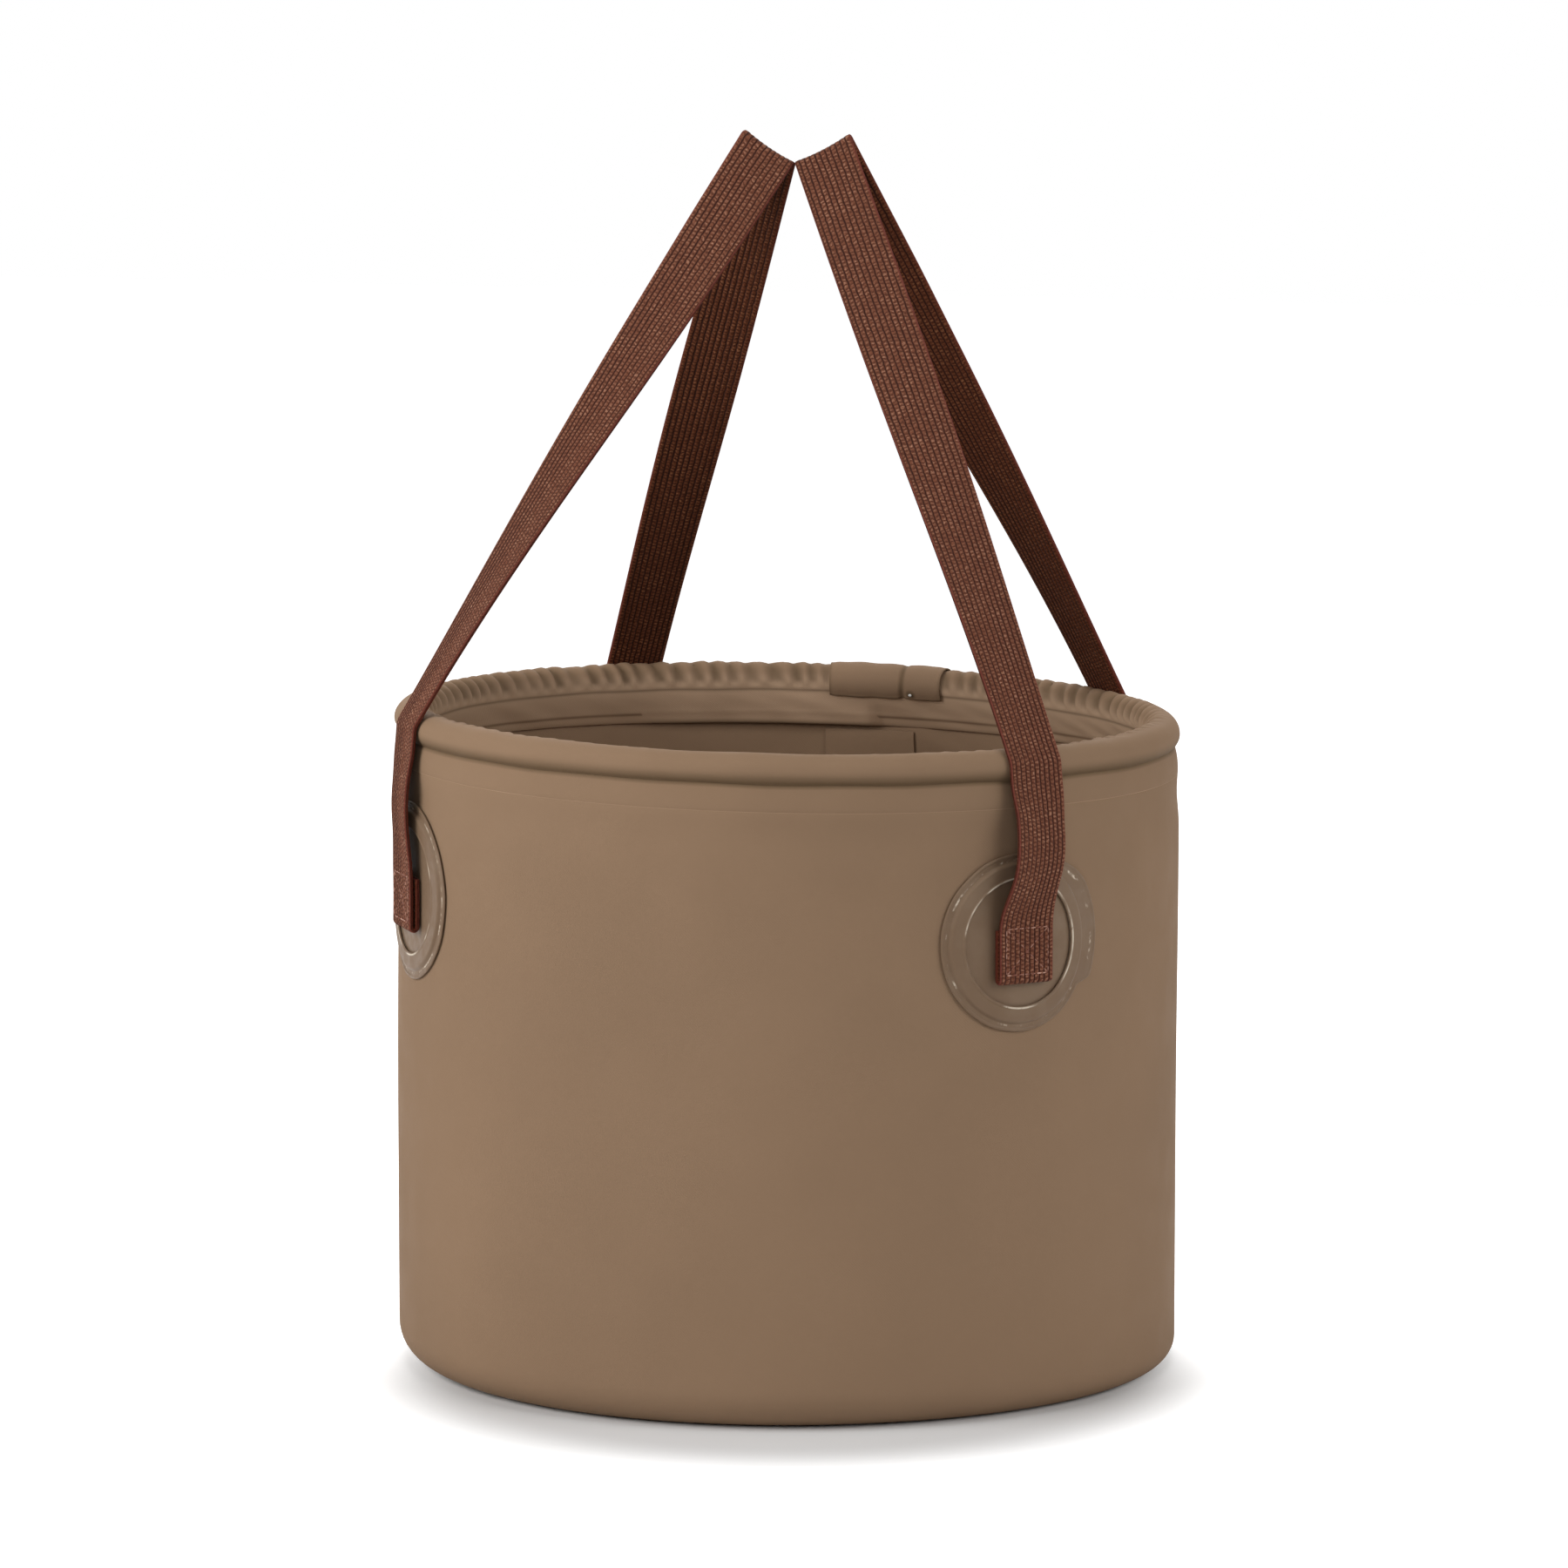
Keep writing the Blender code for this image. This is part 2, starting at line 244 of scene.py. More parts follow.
def grid_piece(name: str, points: Array, flat: Array, turned: bool) -> Object:
    """Make one closed body of a grid whose rows run round a closed outline.

    The columns either close on themselves as a ring does, or end in two flat caps. The faces
    run the way round that makes the volume under them positive, so that they point outwards.

    Args:
        name: Name of the new object.
        points: Grid of points: outline, columns, XYZ.
        flat: Pattern map in metres, one more than the grid in each direction that closes.
        turned: True if the last column joins the first.

    Returns:
        The new object, which sits at the origin.
    """
    rows, columns = points.shape[:2]
    i, j = np.meshgrid(np.arange(rows), np.arange(columns if turned else columns - 1),
                       indexing="ij")
    after_i, after_j = (i + 1) % rows, (j + 1) % columns
    quads = np.stack([i * columns + j, after_i * columns + j, after_i * columns + after_j,
                      i * columns + after_j], axis=-1).reshape(-1, 4)
    maps = np.stack([flat[i, j], flat[i + 1, j], flat[i + 1, j + 1], flat[i, j + 1]], axis=-2)
    maps = maps.reshape(-1, 4, 2)
    places = points.reshape(-1, 3)
    a, b, c, d = (places[quads[:, k]] for k in range(4))
    arm = a - places.mean(axis=0)
    volume = (np.cross(b - a, c - a) * arm).sum() + (np.cross(c - a, d - a) * arm).sum()
    if volume <= 0:
        quads, maps = quads[:, ::-1], maps[:, ::-1]
    faces, loops = quads.tolist(), [maps.reshape(-1, 2)]
    if not turned:
        first = np.arange(rows) * columns
        caps = np.stack([first, (first + columns - 1)[::-1]])
        faces += (caps if volume <= 0 else caps[:, ::-1]).tolist()
        loops += [np.zeros((2 * rows, 2))]
    return piece_from(name, places, faces, np.concatenate(loops))


def piece_from(name: str, places: Array, faces: list, maps: Array) -> Object:
    """Put vertices, faces and a pattern map into a new smooth mesh object.

    Args:
        name: Name of the object and its mesh.
        places: Vertex positions.
        faces: Vertex numbers of each face.
        maps: Pattern map in metres, one pair for each face corner.

    Returns:
        The new object.
    """
    mesh = bpy.data.meshes.new(name)
    mesh.from_pydata(places.tolist(), [], faces)
    layer = mesh.uv_layers.new(name=MAP)
    layer.data.foreach_set("uv", maps.astype(np.float32).ravel())
    mesh.shade_smooth()
    mesh.set_sharp_from_angle(angle=SHARP)
    return placed(bpy.data.objects.new(name, mesh))


def placed(item: Object) -> Object:
    """Put a new object in the scene."""
    bpy.context.collection.objects.link(item)
    return item


def note(piece: Object, name: str, values: Array) -> None:
    """Note a number from 0 to 1 on each point of a grid's piece, for the finish to read."""
    layer = piece.data.attributes.new(name, "FLOAT", "POINT")
    layer.data.foreach_set("value", values.astype(np.float32).ravel())


# Shader maths


@dataclass(frozen=True)
class Signal:
    """A number or colour in a node tree, with arithmetic that adds its Math nodes."""

    graph: "Graph"
    socket: bpy.types.NodeSocket

    def maths(self, operation: str, *others: "Signal | float") -> "Signal":
        """Feed this number, and others after it, to one Math node of an operation."""
        return self.graph.maths(operation, self, *others)

    def __add__(self, other: "Signal | float") -> "Signal":
        """Sum of the two."""
        return self.maths("ADD", other)

    __radd__ = __add__

    def __mul__(self, other: "Signal | float") -> "Signal":
        """Product of the two."""
        return self.maths("MULTIPLY", other)

    __rmul__ = __mul__

    def __sub__(self, other: "Signal | float") -> "Signal":
        """This less the other."""
        return self.maths("SUBTRACT", other)

    def __rsub__(self, other: float) -> "Signal":
        """A number less this."""
        return self.graph.maths("SUBTRACT", other, self)

    def __truediv__(self, other: "Signal | float") -> "Signal":
        """This over the other."""
        return self.maths("DIVIDE", other)

    def sine(self) -> "Signal":
        """Sine of this, in radians."""
        return self.maths("SINE")

    def size(self) -> "Signal":
        """This without its sign."""
        return self.maths("ABSOLUTE")

    def part(self) -> "Signal":
        """What is left over a whole number."""
        return self.maths("FRACT")

    def whole(self) -> "Signal":
        """The whole number below this."""
        return self.maths("FLOOR")

    def spread(self, low: float, high: float, to_low: float = 0, to_high: float = 1) -> "Signal":
        """Map a range smoothly to another, held at its ends.

        Args:
            low: Start of the range.
            high: End of the range.
            to_low: Result at the start.
            to_high: Result at the end.

        Returns:
            The mapped number.
        """
        values = {"Value": self, "From Min": low, "From Max": high, "To Min": to_low,
                  "To Max": to_high}
        return self.graph.node("ShaderNodeMapRange", {"interpolation_type": "SMOOTHSTEP"}, values)


class Graph:
    """The nodes of one material or world, which end in one shader."""

    def __init__(self, owner: "Material | bpy.types.World", end: str) -> None:
        """Open the nodes of a new material or world.

        Args:
            owner: The material or world.
            end: Name of its shader's node.
        """
        owner.use_nodes = True
        self.owner = owner
        self.nodes, self.links = owner.node_tree.nodes, owner.node_tree.links
        self.shader = self.nodes[end]

    @classmethod
    def of_material(cls, name: str) -> "Graph":
        """Start a material of a name, with a Principled shader."""
        return cls(bpy.data.materials.new(name), "Principled BSDF")

    def put(self, made: bpy.types.Node, key: int | str, value: "Signal | float | tuple") -> None:
        """Link a signal to a node's input, or set a plain value on it.

        Args:
            made: The node.
            key: The input's name or number.
            value: What it gets.
        """
        if isinstance(value, Signal):
            self.links.new(value.socket, made.inputs[key])
        else:
            made.inputs[key].default_value = value

    def node(self, kind: str, settings: dict | None = None, values: dict | None = None,
             output: int | str = 0) -> Signal:
        """Add a node, set it up and feed its sockets.

        Args:
            kind: The node's type.
            settings: Properties of the node, which are set first.
            values: Input sockets, by name or number, with numbers, colours or signals.
            output: The output to return.

        Returns:
            The chosen output.
        """
        made = self.nodes.new(kind)
        for key, value in (settings or {}).items():
            setattr(made, key, value)
        for key, value in (values or {}).items():
            self.put(made, key, value)
        return Signal(self, made.outputs[output])

    def maths(self, operation: str, *numbers: Signal | float, clamp: bool = False) -> Signal:
        """Feed numbers to one Math node of an operation, held from 0 to 1 if asked."""
        settings = {"operation": operation, "use_clamp": clamp}
        return self.node("ShaderNodeMath", settings, dict(enumerate(numbers)))

    def feed(self, **values: Signal | float | tuple) -> None:
        """Feed the shader's sockets, with spaces in their names written as underscores."""
        for key, value in values.items():
            self.put(self.shader, key.replace("_", " "), value)

    def surface(self, height: Signal, strength: float, distance: float,
                **values: Signal | float) -> Material:
        """Feed the Principled shader, with a height as its bump.

        Args:
            height: The height.
            strength: The bump's strength.
            distance: How far a height of 1 stands out, in metres.
            values: The shader's other sockets.

        Returns:
            The finished material.
        """
        bump = {"Strength": strength, "Distance": distance, "Height": height}
        self.feed(Normal=self.node("ShaderNodeBump", None, bump), **values)
        return self.owner

    def solid_place(self) -> Signal:
        """Object coordinates, in metres."""
        return self.node("ShaderNodeTexCoord", output="Object")

    def pattern(self) -> tuple[Signal, Signal]:
        """The piece's own map: distance across and along, in metres."""
        place = self.node("ShaderNodeUVMap", {"uv_map": MAP})
        split = self.node("ShaderNodeSeparateXYZ", None, {0: place})
        return split, Signal(self, split.socket.node.outputs[1])

    def noted(self, name: str) -> Signal:
        """A number that was noted on the piece's points."""
        return self.node("ShaderNodeAttribute", {"attribute_name": name}, None, "Fac")

    def noise(self, place: Signal, scale: float, detail: float = 2.0,
              roughness: float = 0.5) -> Signal:
        """Noise about 0.5 over a place, with its waves per metre, octaves and their strength."""
        values = {"Vector": place, "Scale": scale, "Detail": detail, "Roughness": roughness}
        return self.node("ShaderNodeTexNoise", None, values)

    def blend(self, share: Signal, first: Signal | tuple, second: Signal | tuple,
              kind: str = "MIX") -> Signal:
        """Mix two colours.

        Args:
            share: How much of the second.
            first: Colour at 0.
            second: Colour at 1.
            kind: The Mix node's way of mixing.

        Returns:
            The mixed colour.
        """
        first, second = ((*color, 1.0) if isinstance(color, tuple) else color
                         for color in (first, second))
        return self.node("ShaderNodeMix", {"data_type": "RGBA", "blend_type": kind},
                         {0: share, 6: first, 7: second}, 2)

    def seen_directly(self) -> Signal:
        """1 for camera, clear and glossy rays, and 0 for the rays that light the bucket."""
        camera, clear, glossy = (self.node("ShaderNodeLightPath", output=f"Is {ray} Ray")
                                 for ray in ("Camera", "Transmission", "Glossy"))
        return self.maths("ADD", camera + clear, glossy, clamp=True)


def shade(color: tuple, factor: float) -> tuple:
    """A colour made lighter or darker."""
    return tuple(min(1.0, part * factor) for part in color)


# Finishes


@dataclass(frozen=True)
class CoatedCloth:
    """Satin coated cloth: an even film over a fine scrim that just shows through, with painted
    light on its faces inside the bucket and painted shade in its creases.
    """

    color: tuple = (0.252, 0.163, 0.101)
    roughness: float = 0.74
    valley: tuple = (0.080, 0.052, 0.026)
    painted_inside_light: tuple = (0.490, 0.335, 0.222)
    scrim: float = 0.0011
    tone: float = 0.05

    def material(self) -> Material:
        """Build the finish.

        Returns:
            The material.
        """
        graph = Graph.of_material("coated cloth")
        place = graph.solid_place()
        cloudy = graph.noise(place, 7.0, 3.0, 0.55)
        color = graph.blend(cloudy.spread(0.3, 0.7), shade(self.color, 1 - self.tone),
                            shade(self.color, 1 + self.tone))
        # Painted light: the faces noted as Inside are lightened as if more light fell inside the
        # bucket.
        color = graph.blend(graph.noted("Inside"), color, self.painted_inside_light)
        # Painted shade: darker in the puckers' valleys, under and round the bead, in the groove,
        # along the band's loose edge and over the lap's joint, edges, hem and pinhole.
        color = graph.blend(graph.noted("Crease") * 0.7, color, self.valley)
        warp, weft = ((way * (TAU / self.scrim)).sine() for way in graph.pattern())
        grain = graph.noise(place, 900.0, 2.0)
        soft = graph.noise(place, 38.0, 2.0)
        smooth = graph.noise(place, 60.0, 4.0, 0.6)
        rough = smooth.spread(0.3, 0.7, self.roughness - 0.05, self.roughness + 0.06)
        return graph.surface(warp * weft * 0.12 + grain * 0.35 + soft * 1.6, 0.35, 0.0003,
                             Base_Color=color, Roughness=rough, Specular_IOR_Level=0.06)


@dataclass(frozen=True)
class WeldedFilm:
    """The patches' film: a shade greyer and glossier than the wall, with painted glints along its
    welds.
    """

    color: tuple = (0.168, 0.107, 0.065)
    cloudy: tuple = (0.190, 0.127, 0.081)
    weld_glint: tuple = (0.80, 0.70, 0.56)
    roughness: float = 0.46
    window: float = 0.025
    cut: float = 0.0335
    line: float = 0.00055

    def material(self) -> Material:
        """Build the finish. The map's second number is the distance from the patch's middle.

        Returns:
            The material.
        """
        graph = Graph.of_material("welded patch film")
        place = graph.solid_place()
        _, reach = graph.pattern()
        clouds = graph.noise(place, 60.0, 3.0, 0.6)
        body = graph.blend(clouds.spread(0.35, 0.72), self.color, self.cloudy)
        crumbs = graph.noise(place, 420.0, 3.0, 0.7)
        drift = graph.noise(place, 55.0, 2.0)
        inner = 1 - (reach - self.window - self.line * 0.7).size().spread(0, self.line)
        streak = inner * drift.spread(0.45, 0.58) * crumbs.spread(0.25, 0.45)
        outer = 1 - (reach - self.cut + self.line).size().spread(0, self.line * 1.2)
        ragged = graph.noise(place, 90.0, 3.0, 0.7)
        speckle = outer * ragged.spread(0.50, 0.62) * crumbs.spread(0.40, 0.60)
        # Painted highlight: pale glints streaked along the window's weld and speckled along the
        # cut edge.
        body = graph.blend((streak + speckle) * 0.8, body, self.weld_glint)
        fine = graph.noise(place, 260.0, 3.0)
        rough = fine.spread(0.3, 0.7, self.roughness - 0.05, self.roughness + 0.1)
        return graph.surface(clouds * 2.0 + fine * 0.5, 0.3, 0.0003, Base_Color=body,
                             Roughness=rough, Specular_IOR_Level=0.16)


@dataclass(frozen=True)
class WovenWebbing:
    """Ribbed webbing: rows of short floats along each rib, with painted highlights on the floats
    and painted shade in the grooves between and on the strap's inner face.
    """

    color: tuple = (0.164, 0.057, 0.031)
    groove: tuple = (0.034, 0.011, 0.007)
    bright: tuple = (0.36, 0.18, 0.112)
    edge: tuple = (0.19, 0.045, 0.032)
    inner: tuple = (0.62, 0.50, 0.36)
    ribs: int = 11
    width: float = 0.025
    float_length: float = 0.0016

    def material(self) -> Material:
        """Build the finish.

        Returns:
            The material.
        """
        graph = Graph.of_material("woven webbing")
        across, along = graph.pattern()
        place = graph.solid_place()
        sway = graph.noise(place, 520.0, 2.0) - 0.5
        rib = (across + sway * 0.0008) * (self.ribs / self.width)
        crown = (rib * math.pi).sine().size()
        odd = (rib.whole() * 0.5).part() * 2.0
        floats = ((along / self.float_length + odd * 0.5 + sway * 1.5) * TAU).sine() * 0.5 + 0.5
        fuzz = graph.noise(place, 1900.0, 2.0, 0.7)
        patchy = graph.noise(place, 900.0, 3.0, 0.7)
        slow = graph.noise(place, 130.0, 2.0)
        # Painted shade: darker down into the grooves between the ribs.
        body = graph.blend(crown.spread(0.10, 0.75), self.groove, self.color)
        # Painted highlight on the raised floats along each rib's crown.
        share = crown.spread(0.25, 0.9) * floats.spread(0.3, 1.0) * patchy.spread(0.42, 0.62)
        body = graph.blend(share * (slow.spread(0.35, 0.65) * 0.6 + 0.4), body, self.bright)
        # Painted shade in the hollows between the floats.
        low = (1 - floats.spread(0.05, 0.5)) * crown
        body = graph.blend(low * 0.6, body, self.groove)
        face = across / self.width
        rim = (face.part() - 0.5).size().spread(0.45, 0.5)
        body = graph.blend(rim * 0.7, body, self.edge)
        # Painted shade: the strap's inner face is darkened.
        body = graph.blend(face.spread(0.98, 1.02), body, self.inner, "MULTIPLY")
        return graph.surface(crown * 0.8 + floats * crown * 0.5 + fuzz * 0.4, 1.0, 0.0004,
                             Base_Color=body, Roughness=fuzz.spread(0.3, 0.7, 0.75, 0.92),
                             Specular_IOR_Level=0.12)


@dataclass(frozen=True)
class SewingThread:
    """Twisted thread, pale where it lies on top and darker where it sinks in the webbing.

    The map's first number is how pale a run of stitches is.
    """

    color: tuple = (0.56, 0.33, 0.25)
    sunk: tuple = (0.20, 0.075, 0.05)
    turns_per_metre: float = 2600.0

    def material(self) -> Material:
        """Build the finish.

        Returns:
            The material.
        """
        graph = Graph.of_material("sewing thread")
        pale, along = graph.pattern()
        twist = (along * (self.turns_per_metre * TAU)).sine() * 0.5 + 0.5
        patchy = graph.noise(graph.solid_place(), 330.0, 2.0, 0.6)
        color = graph.blend(patchy.spread(0.42, 0.58) * pale, self.sunk, self.color)
        return graph.surface(twist, 0.5, 0.0001, Base_Color=color,
                             Roughness=twist.spread(0, 1, 0.6, 0.8), Specular_IOR_Level=0.2)


@dataclass(frozen=True)
class DrawnPlastic:
    """Pale drawn tube with faint lines along it."""

    color: tuple = (0.62, 0.60, 0.56)

    def material(self) -> Material:
        """Build the finish.

        Returns:
            The material.
        """
        graph = Graph.of_material("drawn plastic")
        place = graph.solid_place()
        across, _ = graph.pattern()
        lines = graph.noise(place, 400.0, 3.0)
        dull = graph.noise(place, 30.0, 2.0)
        color = graph.blend(dull.spread(0.3, 0.7), shade(self.color, 0.94),
                            shade(self.color, 1.05))
        return graph.surface((across * 4000.0).sine() * 0.3 + lines, 0.2, 0.0001,
                             Base_Color=color, Roughness=lines.spread(0.3, 0.7, 0.38, 0.5))


@dataclass(frozen=True)
class Finishes:
    """One material of each finish."""

    cloth: Material
    film: Material
    webbing: Material
    thread: Material
    plastic: Material

    @classmethod
    def make(cls) -> "Finishes":
        """Build all finishes."""
        return cls(*(finish().material() for finish in (CoatedCloth, WeldedFilm, WovenWebbing,
                                                        SewingThread, DrawnPlastic)))


def dress(piece: Object, material: Material, slot: Slot, body: str | None,
          *nodes: str) -> Object:
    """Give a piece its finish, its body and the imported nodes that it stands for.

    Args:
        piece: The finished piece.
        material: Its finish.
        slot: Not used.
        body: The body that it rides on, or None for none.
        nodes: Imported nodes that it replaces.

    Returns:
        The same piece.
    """
    piece.data.materials.append(material)
    if body:
        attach(piece, body)
    if nodes:
        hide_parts(*nodes)
    faces = len(piece.data.polygons)
    LOG.info("%s: %d faces, stands for %s", piece.name, faces, ", ".join(nodes) or "no node")
    return piece


# The bucket


@dataclass(frozen=True)
class BucketForm:
    """Sizes that the pieces share, in metres and degrees, the first ones read from the nodes."""

    body_radius: float
    height: float
    wall_top: float
    flap_end: float
    hoop_tube: float
    hoop_radius: float
    hoop_height: float
    patch_height: float
    patch_radius: float
    bead_proud: float = 0.0007
    fabric: float = 0.001
    gap: float = 0.0003
    corner: float = 0.015
    flange: float = 0.012
    droop: float = 0.020
    droop_place: float = 106.75
    droop_rise: tuple = (0.05, 0.19)
    press: float = 0.0014
    press_middle: tuple = (-56.0, 0.190)
    press_reach: tuple = (17, 0.062)
    flush_reach: tuple = (13, 19)
    flush_rise: tuple = (0.038, 0.0105)

    @classmethod
    def from_frame(cls) -> "BucketForm":
        """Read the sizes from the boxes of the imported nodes.

        Returns:
            The form.
        """
        wall, hem, hoop, ring = (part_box(node) for node in
                                 ("side_wall", "rim_hem", "rim_hoop", "patch_ring_front_right"))
        tube = (hoop[1][2] - hoop[0][2]) / 2
        return cls(body_radius=wall[1][0], height=hem[1][2], wall_top=wall[1][2],
                   flap_end=hem[0][2], hoop_tube=tube,
                   hoop_radius=hoop[1][0] - tube + cls.bead_proud, hoop_height=hoop[1][2] - tube,
                   patch_height=(ring[0][2] + ring[1][2]) / 2,
                   patch_radius=(ring[1][2] - ring[0][2]) / 2)

    @property
    def wall_mid(self) -> float:
        """Radius of the middle of the wall's cloth."""
        return self.body_radius - self.fabric / 2

    @property
    def liner_mid(self) -> float:
        """Radius of the middle of the cloth that lies inside the wall."""
        return self.wall_mid - self.fabric - self.gap

    @property
    def bead_mid(self) -> float:
        """Distance from the hoop's middle to the middle of its sleeve."""
        return self.hoop_tube + self.gap + self.fabric / 2

    def round_hoop(self, around: Array, turn: Array) -> Array:
        """Radius and height at distances from the hoop's middle, with turns in radians."""
        return pair(self.hoop_radius + around * np.cos(turn),
                    self.hoop_height + around * np.sin(turn))

    def drooped(self, points: Array) -> Array:
        """Let the soft bucket sag to one side, and press it in under the left strap.

        The height falls by the droop times the distance towards the droop's place. The press
        takes a share of the distance from the axis, most at its place and height, and the
        bead is level with the wall where a patch can come to lie over it.

        Args:
            points: Points with X, Y and Z along the last axis.

        Returns:
            The moved points.
        """
        angle = math.radians(self.droop_place)
        across = points[..., 0] * math.sin(angle) - points[..., 1] * math.cos(angle)
        moved = points.copy()
        moved[..., 2] -= self.droop * across * smooth_step(*self.droop_rise, points[..., 2])
        place = np.degrees(np.arctan2(points[..., 0], -points[..., 1]))
        (middle, level), (sweep, reach) = self.press_middle, self.press_reach
        spot = hump(0, sweep, degrees_apart(place, middle)) * hump(level, reach, points[..., 2])
        flush = sum(1 - smooth_step(*self.flush_reach, np.abs(degrees_apart(place, corner.place)))
                    for corner in Corner)
        low, high = (self.height - below for below in self.flush_rise)
        flush = flush * smooth_step(low, high, points[..., 2])
        share = (self.press * spot + self.bead_proud * flush) / self.body_radius
        moved[..., :2] *= (1 - share)[..., None]
        return moved

    def sweep(self, name: str, section: Array, place: Array, turned: bool) -> Object:
        """Carry a closed outline of radius and height round the bucket, and let it sag.

        Args:
            name: Name of the new object.
            section: Outline points: outline, places, radius and height.
            place: The places in degrees, without the closing one where the piece is turned.
            turned: True if it goes all the way round, or else it has flat ends.

        Returns:
            The new object, its pattern map running round the wall and up it in metres.
        """
        points = self.drooped(stand(section[..., 0], section[..., 1], place))
        up = lengths_along(np.concatenate([section, section[:1]]))[:, :1]
        ends = np.append(place, place[0] + 360) if turned else place
        way = ends * (math.radians(1) * section[..., 0].max())
        return grid_piece(name, points, pair(way[None, :], up), turned)


@dataclass
class Assembly:
    """A part of the bucket, built on the shared form and dressed in the finishes."""

    form: BucketForm
    finishes: Finishes


@dataclass
class WallShell(Assembly):
    """The side wall with its rounded bottom edge and welded flange, and the seam's tape."""

    columns: int = 384
    swell: float = 0.0007
    swell_start: tuple = (0.10, 0.215)
    swell_end: tuple = (0.224, 0.2375)
    tape_place: float = 183.6
    tape_width: float = 0.038
    tape: float = 0.0006
    crumpled_share: float = 0.2227
    tight_corner: float = 0.006
    tight_place: tuple = (98, 75)
    dent: float = 0.0009
    dent_height: tuple = (0.229, 0.011)
    fold: float = 0.0016
    fold_sides: tuple = (-1.6, 0.4, 9)
    fold_height: tuple = (0.230, 0.013)
    fold_foot: tuple = (169.0, 0.2256)
    fold_head: tuple = (175.2, 0.2357)

    def surface(self, place: Array, height: Array) -> Array:
        """How far the cloth stands out of round: slow waves, dents under the welded band, a fold.

        Args:
            place: Places in degrees.
            height: Heights over the floor.

        Returns:
            Distances outwards.
        """
        rise = smooth_step(*self.swell_start, height) * (1 - smooth_step(*self.swell_end, height))
        waves = Wander(11, 5, 16).at(place + 40 * height) + 0.6 * Wander(12, 17, 34).at(place)
        dents = 0.5 + 0.5 * Wander(13, 6, 30).at(place - 25 * height)
        under = hump(*self.dent_height, height) * dents
        (foot, low), (head, high) = self.fold_foot, self.fold_head
        beside = degrees_apart(place, foot + (head - foot) * (height - low) / (high - low))
        near, crest, far = self.fold_sides
        step = smooth_step(near, crest, beside) * (1 - smooth_step(crest, far, beside))
        folded = self.fold * step * hump(*self.fold_height, height)
        return self.swell * rise * waves - self.dent * under - folded

    def middle(self, place: Array) -> Array:
        """Middle line of the cloth: flange, quarter round of the corner, straight wall.

        Args:
            place: Places in degrees.

        Returns:
            Radius and height: line, places, pair.
        """
        form = self.form
        tight, sweep = self.tight_place
        corner = form.corner - self.tight_corner * hump(0, sweep, degrees_apart(place, tight))
        mid = corner - form.fabric / 2
        start = form.body_radius - form.corner - form.flange
        flange = np.linspace(0, 1, 9)[:-1, None]
        turn = np.radians(np.linspace(-90, 0, 13))[:-1, None]
        heights = np.linspace(0, 1, 76)[:, None]
        radius = np.concatenate([start + (form.body_radius - corner - start) * flange,
                                 form.body_radius - corner + mid * np.cos(turn),
                                 form.wall_mid + 0 * heights * corner])
        height = np.concatenate([form.fabric / 2 + 0 * flange * corner,
                                 corner + mid * np.sin(turn),
                                 corner + (form.wall_top - corner) * heights])
        return pair(radius + self.surface(place[None, :], height), height)

    def build(self) -> None:
        """Make the wall and the tape."""
        place = all_round(self.columns)
        section = sheet_section(self.middle(place), self.form.fabric / 2)
        wall = self.form.sweep("wall_cloth", section, place, turned=True)
        dress(wall, self.finishes.cloth, Slot.CLOTH, "bucket_base", "side_wall")
        tape = self.seam_strip()
        dress(tape, self.finishes.cloth, Slot.CLOTH, "bucket_base", "seam_tape")
        for piece in (wall, tape):
            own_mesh(piece)

    def seam_strip(self) -> Object:
        """The strip welded over the seam inside, with thinned edges.

        Returns:
            The strip.
        """
        form = self.form
        low, high = (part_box("seam_tape")[end][2] for end in (0, 1))
        sweep = math.degrees(self.tape_width / form.liner_mid)
        place = self.tape_place + np.linspace(-sweep / 2, sweep / 2, 25)
        radius = form.body_radius - form.fabric - form.gap - self.tape / 2
        height = np.linspace(low, high, 60)[:, None] + 0 * place
        line = pair(radius + self.surface(place[None, :], height), height)
        return form.sweep("seam_strip", sheet_section(line, self.tape / 2), place, turned=False)


@dataclass
class BasePanel(Assembly):
    """The bottom cloth: flat, lapped over the wall's flange and turned up inside the wall."""

    columns: int = 256
    lap: float = 0.003
    upstand: float = 0.028
    hub: float = 0.0004
    slack: float = 0.0005
    slack_ring: tuple = (0.075, 0.05)

    def build(self) -> None:
        """Make the panel: its middle line runs from the hub to the upstand's edge."""
        form = self.form
        place = all_round(self.columns)
        centre = (form.body_radius - form.corner, form.corner)
        lapped = form.fabric * 1.5 + form.gap
        flat = np.linspace(self.hub, centre[0] - form.flange - self.lap - form.fabric, 40)
        step = np.linspace(0, 1, 7)[1:]
        turn = np.radians(np.linspace(-90, 0, 11))
        round_radius = form.corner - lapped
        upstand = np.linspace(form.corner, self.upstand, 8)[1:]
        radius = np.concatenate([flat, flat[-1] + step * self.lap,
                                 centre[0] + round_radius * np.cos(turn),
                                 np.full(upstand.size, form.liner_mid)])
        climb = smooth_step(0, 1, step) * (lapped - form.fabric / 2)
        height = np.concatenate([np.full(flat.size, form.fabric / 2), form.fabric / 2 + climb,
                                 centre[1] + round_radius * np.sin(turn), upstand])
        line = pair(radius[:, None], height[:, None] + 0 * place)
        share = hump(*self.slack_ring, line[..., 0])
        line[..., 1] += self.slack * share * (1 + Wander(5, 2, 9).at(place[None, :])) / 2
        section = sheet_section(line, form.fabric / 2)
        panel = form.sweep("bottom_cloth", section, place, turned=True)
        dress(panel, self.finishes.cloth, Slot.CLOTH, "bucket_base", "base_panel")


